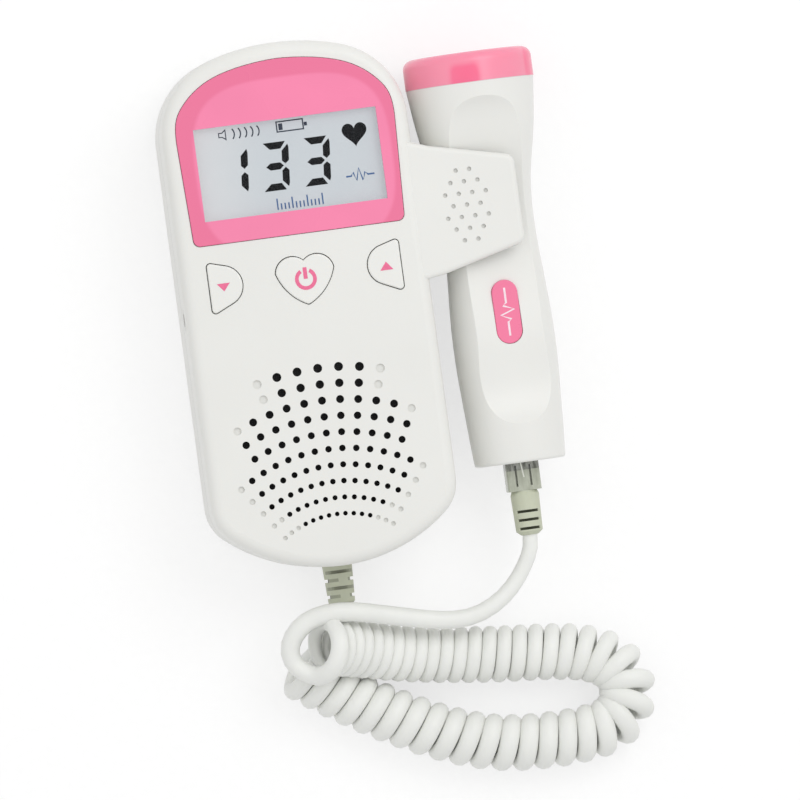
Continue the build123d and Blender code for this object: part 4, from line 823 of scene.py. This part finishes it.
# Routes of the cord, millimetres from the unit's middle line
LEAD_ROUTE = [
    (49.8, -66.2, 17.8), (49.8, -69.4, 17.8), (47.2, -74.2, 17.6), (43.6, -79.0, 17.4),
    (38.2, -83.2, 17.4), (31.4, -85.5, 17.7), (24.2, -85.1, 18.2), (16.6, -83.3, 18.9),
    (8.6, -81.3, 19.7), (1.2, -79.5, 20.8), (-5.2, -79.2, 21.6), (-10.8, -80.6, 21.2),
    (-14.6, -84.0, 20.0), (-16.0, -88.2, 18.8), (-14.4, -92.2, 18.4), (-10.6, -94.6, 19.0),
]
COIL_ROUTE = [
    (-6.8, -88.0, 19.5), (-3.4, -88.4, 16.9), (1.6, -89.4, 13.8), (8.2, -91.0, 10.8),
    (17.0, -92.9, 8.6), (28.4, -94.6, 7.6), (40.4, -96.0, 7.6), (51.4, -96.8, 7.6),
    (60.6, -98.2, 7.6), (66.9, -101.0, 7.6), (70.6, -105.6, 7.6), (70.4, -112.2, 7.6),
    (67.0, -117.0, 7.6), (60.8, -119.0, 7.6), (50.0, -119.7, 7.6), (36.0, -118.9, 7.6),
    (22.4, -114.6, 7.6), (9.0, -107.9, 7.6), (-3.6, -100.4, 7.6), (-13.2, -93.4, 7.6),
]
UNIT_ROUTE = [
    (0, -77.5, 10.0), (0, -80.3, 10.0), (-0.9, -83.1, 9.2), (-3.1, -85.4, 7.7),
    (-6.0, -87.6, 6.0), (-9.4, -90.3, 4.2),
]
# Pitch of the turns in millimetres at shares of the coil's length
PITCH_STOPS = ((0.0, 3.0), (0.12, 3.4), (0.18, 3.6), (0.25, 3.85), (0.35, 4.1), (0.47, 5.0),
               (0.80, 5.1), (1.0, 4.6))
# Radius of the sheath in millimetres at shares of the lead's length, boot first
LEAD_STOPS = ((0.0, 1.95), (0.15, 2.0), (0.45, 2.35), (0.7, 2.55), (1.0, 2.5))
# Least and greatest radius of the sheath in the coil, and its radius at the unit
COIL_RADII = (1.55, 2.5)
UNIT_RADIUS = 2.15
# Turns over which the lead eases into the coil, and points of a turn
EASED_TURNS = 1.1
STEPS_PER_TURN = 14


def between(stops, share):
    """Value at a share, on straight lines between stops."""
    for (low, first), (high, last) in zip(stops, stops[1:]):
        if share <= high:
            return first + (last - first) * (share - low) / (high - low)
    return stops[-1][1]


def eased(value):
    """Smooth 0 to 1."""
    value = min(max(value, 0.0), 1.0)
    return value * value * (3 - 2 * value)


def in_metres(points):
    """Points in metres in the frame, from millimetres off the unit's middle line."""
    return [Vector((x * MM + UNIT_X, y * MM, z * MM)) for x, y, z in points]


def smooth_curve(name, points, resolution, radii=()):
    """Open NURBS curve with the given control points, and radii for its bevel."""
    curve = bpy.data.curves.new(name, "CURVE")
    curve.dimensions = "3D"
    curve.resolution_u = resolution
    spline = curve.splines.new("NURBS")
    spline.points.add(len(points) - 1)
    for place, point in zip(spline.points, points):
        place.co = (*point, 1.0)
    for place, radius in zip(spline.points, radii):
        place.radius = radius
    spline.order_u = 3
    spline.use_endpoint_u = True
    return link(name, curve)


def curve_points(drawn):
    """Points along a curve that has no bevel, in order."""
    mesh = bpy.data.meshes.new_from_object(drawn)
    points = [vertex.co.copy() for vertex in mesh.vertices]
    bpy.data.meshes.remove(mesh)
    return points


def coil_turns(axis, start, finish_at, coil_radius):
    """Points and sheath radii of the turns, from a start to the side where the other lead leaves."""
    steps = [after - before for before, after in zip(axis, axis[1:])]
    reach = [0.0, *accumulate(step.length for step in steps)]
    tangents = [step.normalized() for step in steps + steps[-1:]]
    offset = start - axis[0]
    # The lead's end lies off the axis: along it, and to one side
    first_axial = offset.dot(tangents[0])
    first_side = offset - tangents[0] * first_axial
    first_radius = first_side.length
    sides = [first_side.normalized()]
    for before, after in zip(tangents, tangents[1:]):
        side = sides[-1].copy()
        side.rotate(before.rotation_difference(after))
        sides.append((side - after * side.dot(after)).normalized())
    turns = [0.0]
    for i in range(len(axis) - 1):
        share = reach[i] / reach[-1]
        turns.append(turns[-1] + (reach[i + 1] - reach[i]) / (between(PITCH_STOPS, share) * MM))
    # The last turn ends on the side where the other lead leaves
    away = finish_at - axis[-1]
    away = (away - tangents[-1] * away.dot(tangents[-1])).normalized()
    last_side = sides[-1]
    last_angle = math.atan2(away.dot(-tangents[-1].cross(last_side)), away.dot(last_side)) / (2 * math.pi)
    whole = math.floor(turns[-1] - last_angle + 0.5) + last_angle
    stretch = whole / turns[-1]
    turns = [turn * stretch for turn in turns]
    points, radii = [], []
    lead_end = LEAD_STOPS[-1][1]
    count = int(whole * STEPS_PER_TURN)
    index = 0
    for step in range(count + 1):
        turn = whole * step / count
        while index < len(turns) - 2 and turns[index + 1] < turn:
            index += 1
        share = (turn - turns[index]) / (turns[index + 1] - turns[index])
        place = axis[index].lerp(axis[index + 1], share)
        way = tangents[index].lerp(tangents[index + 1], share).normalized()
        side = sides[index].lerp(sides[index + 1], share).normalized()
        other = -way.cross(side)
        ease = eased(turn / EASED_TURNS)
        gone = reach[index] + share * (reach[index + 1] - reach[index])
        pitch = between(PITCH_STOPS, gone / reach[-1])
        wire = min(max(pitch * sizes().wire_share, COIL_RADII[0]), COIL_RADII[1])
        radii.append(lead_end + (wire - lead_end) * ease)
        out = first_radius + (coil_radius - wire * MM - first_radius) * ease
        angle = 2 * math.pi * turn
        points.append(place + (side * math.cos(angle) + other * math.sin(angle)) * out
                      + way * first_axial * (1 - ease))
    return points, radii


class DOPPLER_OT_cord(bpy.types.Operator):
    """Curly cord from the plug's boot to the unit's strain relief."""

    bl_idname = "doppler.cord"
    bl_label = "Build Curly Cord"

    def execute(self, context):
        lead = in_metres(LEAD_ROUTE)
        unit = in_metres(UNIT_ROUTE)
        axis_curve = smooth_curve("coil_axis", in_metres(COIL_ROUTE), 12)
        axis = curve_points(axis_curve)
        bpy.data.objects.remove(axis_curve)
        coil_radius = sizes().coil_diameter / 2
        below = axis[-1] - Vector((0, 0, coil_radius))
        turns, radii = coil_turns(axis, lead[-1], below, coil_radius)
        last = len(lead) - 2
        radii = ([between(LEAD_STOPS, i / last) for i in range(last + 1)] + radii
                 + [UNIT_RADIUS] * len(unit))
        route = smooth_curve("cord_line", lead[:-1] + turns + unit[::-1], 2, radii)
        path = curve_points(route)
        route.data.bevel_depth = 1 * MM
        route.data.bevel_resolution = 4
        route.data.use_fill_caps = True
        mesh = bpy.data.meshes.new_from_object(route)
        bpy.data.objects.remove(route)
        mesh.name = "curly_cord"
        mesh.materials.clear()
        mesh.materials.append(soft_cord("cord_white", colours().cord, shaded(colours().cord, 0.95)))
        mesh.shade_smooth()
        cord = link("curly_cord", mesh)
        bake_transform(cord)
        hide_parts("cord_probe_lead", "cord_coil", "cord_unit_lead")
        return {"FINISHED"}


# ---- The main unit ----

# Fans of holes in the front: middle, half width, apex, low end, high end and spread. The jaw's has
# straight sides, so its apex is far off, and its face lies lower by a drop.
SPEAKER_FAN = (UNIT_X, 26 * MM, -78.8 * MM, -60 * MM, -16 * MM, 0.74)
JAW_FAN = (UNIT_X + 43.6 * MM, 8 * MM, -1.0, 9.3 * MM, 30.3 * MM, 1.0)
JAW_DROP = 0.4 * MM
# Shut slots painted as shade on the strain relief, in millimetres: top of the first, pitch, width,
# spans across
SLOT_TOP, SLOT_PITCH, SLOT_WIDTH = -68.7, 2.1, 0.85
SLOT_SPANS = (((-3.4, 3.5),), ((-3.2, -0.4), (2.1, 3.2))) * 2


class DOPPLER_OT_shells(bpy.types.Operator):
    """White shells, buttons, door and fasteners of the unit."""

    bl_idname = "doppler.shells"
    bl_label = "Finish Shells"

    def execute(self, context):
        white = colours().shell
        parting = top_of("rear_case")
        # Painted shade for the holes of both fans: a paler white just below the brim, near black deeper
        # down
        dark = tone(30, 30, 30)
        pits = ((SPEAKER_FAN, FACE_Z, shaded(white, 0.92), dark),
                (JAW_FAN, FACE_Z - JAW_DROP, shaded(white, 0.84), dark))
        paint(satin_plastic("shell_white", white, seam=parting, soft=0.08, pits=pits), "front_case")
        paint(satin_plastic("back_white", white, seam=parting, soft=0.08), "rear_case")
        paint(satin_plastic("button_white", shaded(white, 1.02), rough=0.34, soft=0.08),
              "power_button", "volume_down_button", "volume_up_button")
        paint(satin_plastic("door_white", shaded(white, 0.985), rough=0.45), "battery_door")
        paint(rubber("foot_rubber", tone(150, 150, 148)), "rubber_feet")
        paint(plated_metal("screw_zinc", tone(196, 197, 198)), "case_screws", "board_screws")
        marks = []
        for row, spans in enumerate(SLOT_SPANS):
            high = (SLOT_TOP - SLOT_PITCH * row) * MM
            marks += [(high - SLOT_WIDTH * MM, high, left * MM, right * MM) for left, right in spans]
        # The dark tone is painted shade for the sleeve's grooves and slots
        paint(relief_plastic("relief_beige", colours().relief, tone(70, 72, 54), "strain_relief",
                             inner=3.3 * MM, taper=0.035, marks=marks), "strain_relief")
        return {"FINISHED"}


class DOPPLER_OT_display(bpy.types.Operator):
    """Pink frame, clear window and the display with its marks."""

    bl_idname = "doppler.display"
    bl_label = "Build Display"

    def execute(self, context):
        paint(bezel_plastic("bezel_pink", colours().deep_pink, colours().pink), "screen_bezel")
        paint(lens_plastic("lens_clear"), "display_lens")
        paint(display_glass("display_cool", tone(211, 218, 223), tone(226, 229, 231)), "lcd_panel")
        paint(satin_plastic("backlight_white", tone(240, 242, 244), rough=0.5), "lcd_backlight")
        paint(satin_plastic("holder_white", tone(222, 222, 220), rough=0.5), "lcd_holder")
        self.dark = printed_ink("display_dark", colours().ink, 0.4)
        self.blue = printed_ink("display_blue", colours().blue_ink)
        self.line = printed_ink("display_line", tone(62, 70, 84))
        self.height = top_of("lcd_panel")
        self.digits()
        self.signs()
        self.fixed_print()
        return {"FINISHED"}

    def put(self, name, loops, material):
        """Print closed loops on the display."""
        piece = flat_print(name, loops, level(self.height), sizes().print_thickness, material)
        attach(piece, "main_unit")

    def put_rule(self, name, group, x, y, material):
        """Print a rule's row on the display, from a place in millimetres off the middle line."""
        thick = sizes().print_thickness
        piece = rule_piece(name, group, {"Thickness": thick, "Material": material},
                           (UNIT_X + x * MM, y * MM, self.height + thick / 2))
        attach(piece, "main_unit")

    def digits(self):
        """The number 133."""
        one = ("high", "low")
        three = ("top", "high", "middle", "low", "bottom")
        loops = []
        for left, lit in ((-17.85, one), (-7.25, three), (3.38, three)):
            loops += digit_segments(left, low=29.75, width=6.6, height=sizes().digit_height,
                                    stroke=sizes().digit_stroke, gap=0.42, lean=0.09, lit=lit)
        self.put("display_digits", loops, self.dark)

    def signs(self):
        """Heart, battery and loudspeaker."""
        self.put("display_heart", [heart_points((17.58, 41.3), 6.4, 6.1)], self.dark)
        battery = [rectangle(-2.2, 44.4, 4.93, 47.3), rectangle(-1.87, 44.73, 4.6, 46.97),
                   rectangle(5.0, 45.3, 5.8, 46.25), rectangle(-1.56, 44.96, -0.52, 46.65)]
        self.put("display_battery", battery, self.line)
        horn = [(-17.15, 44.95), (-16.25, 44.95), (-15.15, 44.1), (-15.15, 47.1), (-16.25, 46.25),
                (-17.15, 46.25)]
        hollow = [(-16.9, 45.2), (-16.15, 45.2), (-15.4, 44.65), (-15.4, 46.55), (-16.15, 46.0),
                  (-16.9, 46.0)]
        self.put("display_horn", [horn, hollow], self.line)
        self.put_rule("display_sound_arcs", sound_arcs_rule(), -14.9, 45.6, self.line)

    def fixed_print(self):
        """Blue scale and wave."""
        self.put_rule("display_scale", scale_ticks_rule(), -4.4, 24.8, self.blue)
        wave = [(14.0, 30.9), (15.3, 30.9), (15.9, 31.8), (16.6, 29.7), (17.4, 32.8), (18.2, 29.6),
                (18.9, 31.6), (19.6, 30.9), (21.3, 30.9)]
        self.put("display_wave", [band(wave, 0.45)], self.blue)


class DOPPLER_OT_button_marks(bpy.types.Operator):
    """Pink marks on the three buttons."""

    bl_idname = "doppler.button_marks"
    bl_label = "Print Button Marks"

    def execute(self, context):
        pink = printed_ink("mark_pink", tone(236, 118, 155), 0.4)
        height = top_of("power_button")
        thick = sizes().print_thickness
        outer, inner = (arc_points((0, 6.35), radius, 118, 422, 40) for radius in (2.8, 1.85))
        ring = outer + inner[::-1]
        bar = rectangle(-0.5, 6.4, 0.5, 9.35)
        for name, loops, body in (
            ("mark_power", [ring, bar], "power_key"),
            ("mark_down", [[(-22.8, 8.0), (-21.12, 5.95), (-19.44, 8.0)]], "volume_down_key"),
            ("mark_up", [[(19.2, 5.9), (22.56, 5.9), (20.88, 8.05)]], "volume_up_key"),
        ):
            piece = flat_print(name, loops, level(height), thick, pink)
            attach(piece, body)
        return {"FINISHED"}


# ---- The probe ----

# The badge's face: its turn about the handle, and its height above the handle's middle line
BADGE_TURN = math.radians(5.0)
BADGE_TOP = 9.8 * MM


class DOPPLER_OT_probe(bpy.types.Operator):
    """Handle, cap, badge, plug and boot of the probe."""

    bl_idname = "doppler.probe"
    bl_label = "Finish Probe"

    def execute(self, context):
        paint(satin_plastic("probe_white", colours().shell, rough=0.36, soft=0.10, seam=PROBE_Z),
              "probe_front_shell", "probe_rear_shell")
        paint(cap_plastic("cap_pink", tone(255, 112, 150), tone(255, 148, 174)), "probe_cap")
        paint(satin_plastic("label_pink", tone(248, 126, 164), rough=0.28, grain=0.5 * MM,
                            depth=0.004 * MM), "probe_label")
        paint(clear_plug_plastic("plug_clear"), "modular_plug")
        paint(plated_metal("contact_gold", tone(226, 190, 110), 0.22), "plug_contacts", "socket_contacts")
        # The dark tone is painted shade for the boot's grooves
        paint(relief_plastic("boot_beige", colours().relief, tone(70, 72, 52), "plug_boot",
                             inner=3.3 * MM, taper=0.022), "plug_boot")
        self.pulse_mark()
        return {"FINISHED"}

    def pulse_mark(self):
        """White pulse line along the badge, whose face leans to the right."""
        line = [(0, -6.2), (0, -2.6), (0.9, -2.0), (-1.7, -0.8), (1.9, 0.5), (-0.9, 1.6), (0, 2.3),
                (0, 6.2)]
        ink = printed_ink("mark_white", tone(250, 226, 234), 0.4)
        badge = (Matrix.Translation((PROBE_X, middle("probe_label").y, PROBE_Z))
                 @ Matrix.Rotation(BADGE_TURN, 4, "Y") @ Matrix.Translation((0, 0, BADGE_TOP)))
        mark = flat_print("mark_pulse", [band(line, 0.55)], badge, sizes().print_thickness, ink)
        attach(mark, "probe")


class DOPPLER_OT_inner_parts(bpy.types.Operator):
    """Boards, loudspeaker, cells, switches and the parts inside the probe."""

    bl_idname = "doppler.inner_parts"
    bl_label = "Finish Inner Parts"

    def execute(self, context):
        green = board_laminate("board_green", tone(20, 84, 52), tone(44, 120, 76))
        paint(green, "main_board", "probe_board")
        paint(chip_resin("chip_black"), "board_components")
        black = satin_plastic("socket_black", tone(34, 34, 36), rough=0.45, tint=0.15)
        paint(black, "tact_switches", "probe_socket")
        paint(satin_plastic("jack_white", tone(228, 228, 224), rough=0.4), "headphone_jack")
        paint(plated_metal("basket_steel", tone(150, 152, 154), 0.35), "loudspeaker_basket")
        paint(speaker_paper("cone_black", tone(48, 48, 50)), "loudspeaker_cone")
        paint(plated_metal("magnet_dark", tone(74, 75, 78), 0.5), "loudspeaker_magnet")
        paint(woven_cloth("cloth_black", tone(58, 58, 60), 0.55 * MM), "speaker_cloth")
        paint(cell_jacket("cell_jacket", tone(66, 70, 78), tone(170, 128, 78)),
              "battery_left", "battery_right")
        paint(plated_metal("nickel", tone(206, 202, 190), 0.24),
              "battery_contact_plates", "battery_springs")
        paint(rubber("seal_rubber", tone(120, 120, 118)), "cap_seal")
        paint(soft_cord("cable_grey", tone(196, 196, 190), tone(182, 182, 176)), "internal_cable")
        paint(plated_metal("crystal_silver", tone(214, 212, 204), 0.3), "piezo_crystals")
        paint(satin_plastic("resin_grey", tone(120, 120, 124), rough=0.5, tint=0.12), "transducer_backing")
        return {"FINISHED"}


class DOPPLER_PT_build(bpy.types.Panel):
    """Sizes, colours and the steps that build the looks."""

    bl_idname = "DOPPLER_PT_build"
    bl_label = "Fetal Doppler"
    bl_space_type = "VIEW_3D"
    bl_region_type = "UI"
    bl_category = "Doppler"

    def draw(self, context):
        for group in (context.scene.doppler_sizes, context.scene.doppler_colours):
            box = self.layout.box()
            for name in group.__annotations__:
                box.prop(group, name)
        for step in STEPS:
            self.layout.operator(step.bl_idname)


STEPS = (
    DOPPLER_OT_stage,
    DOPPLER_OT_cord,
    DOPPLER_OT_shells,
    DOPPLER_OT_display,
    DOPPLER_OT_button_marks,
    DOPPLER_OT_probe,
    DOPPLER_OT_inner_parts,
)
CLASSES = (DopplerSizes, DopplerColours, *STEPS, DOPPLER_PT_build)


def register():
    for made in CLASSES:
        bpy.utils.register_class(made)
    bpy.types.Scene.doppler_sizes = bpy.props.PointerProperty(type=DopplerSizes)
    bpy.types.Scene.doppler_colours = bpy.props.PointerProperty(type=DopplerColours)


def unregister():
    del bpy.types.Scene.doppler_colours
    del bpy.types.Scene.doppler_sizes
    for made in reversed(CLASSES):
        bpy.utils.unregister_class(made)


def main():
    register()
    bpy.ops.doppler.stage()
    bpy.ops.doppler.cord()
    bpy.ops.doppler.shells()
    bpy.ops.doppler.display()
    bpy.ops.doppler.button_marks()
    bpy.ops.doppler.probe()
    bpy.ops.doppler.inner_parts()


if __name__ == "__main__":
    main()
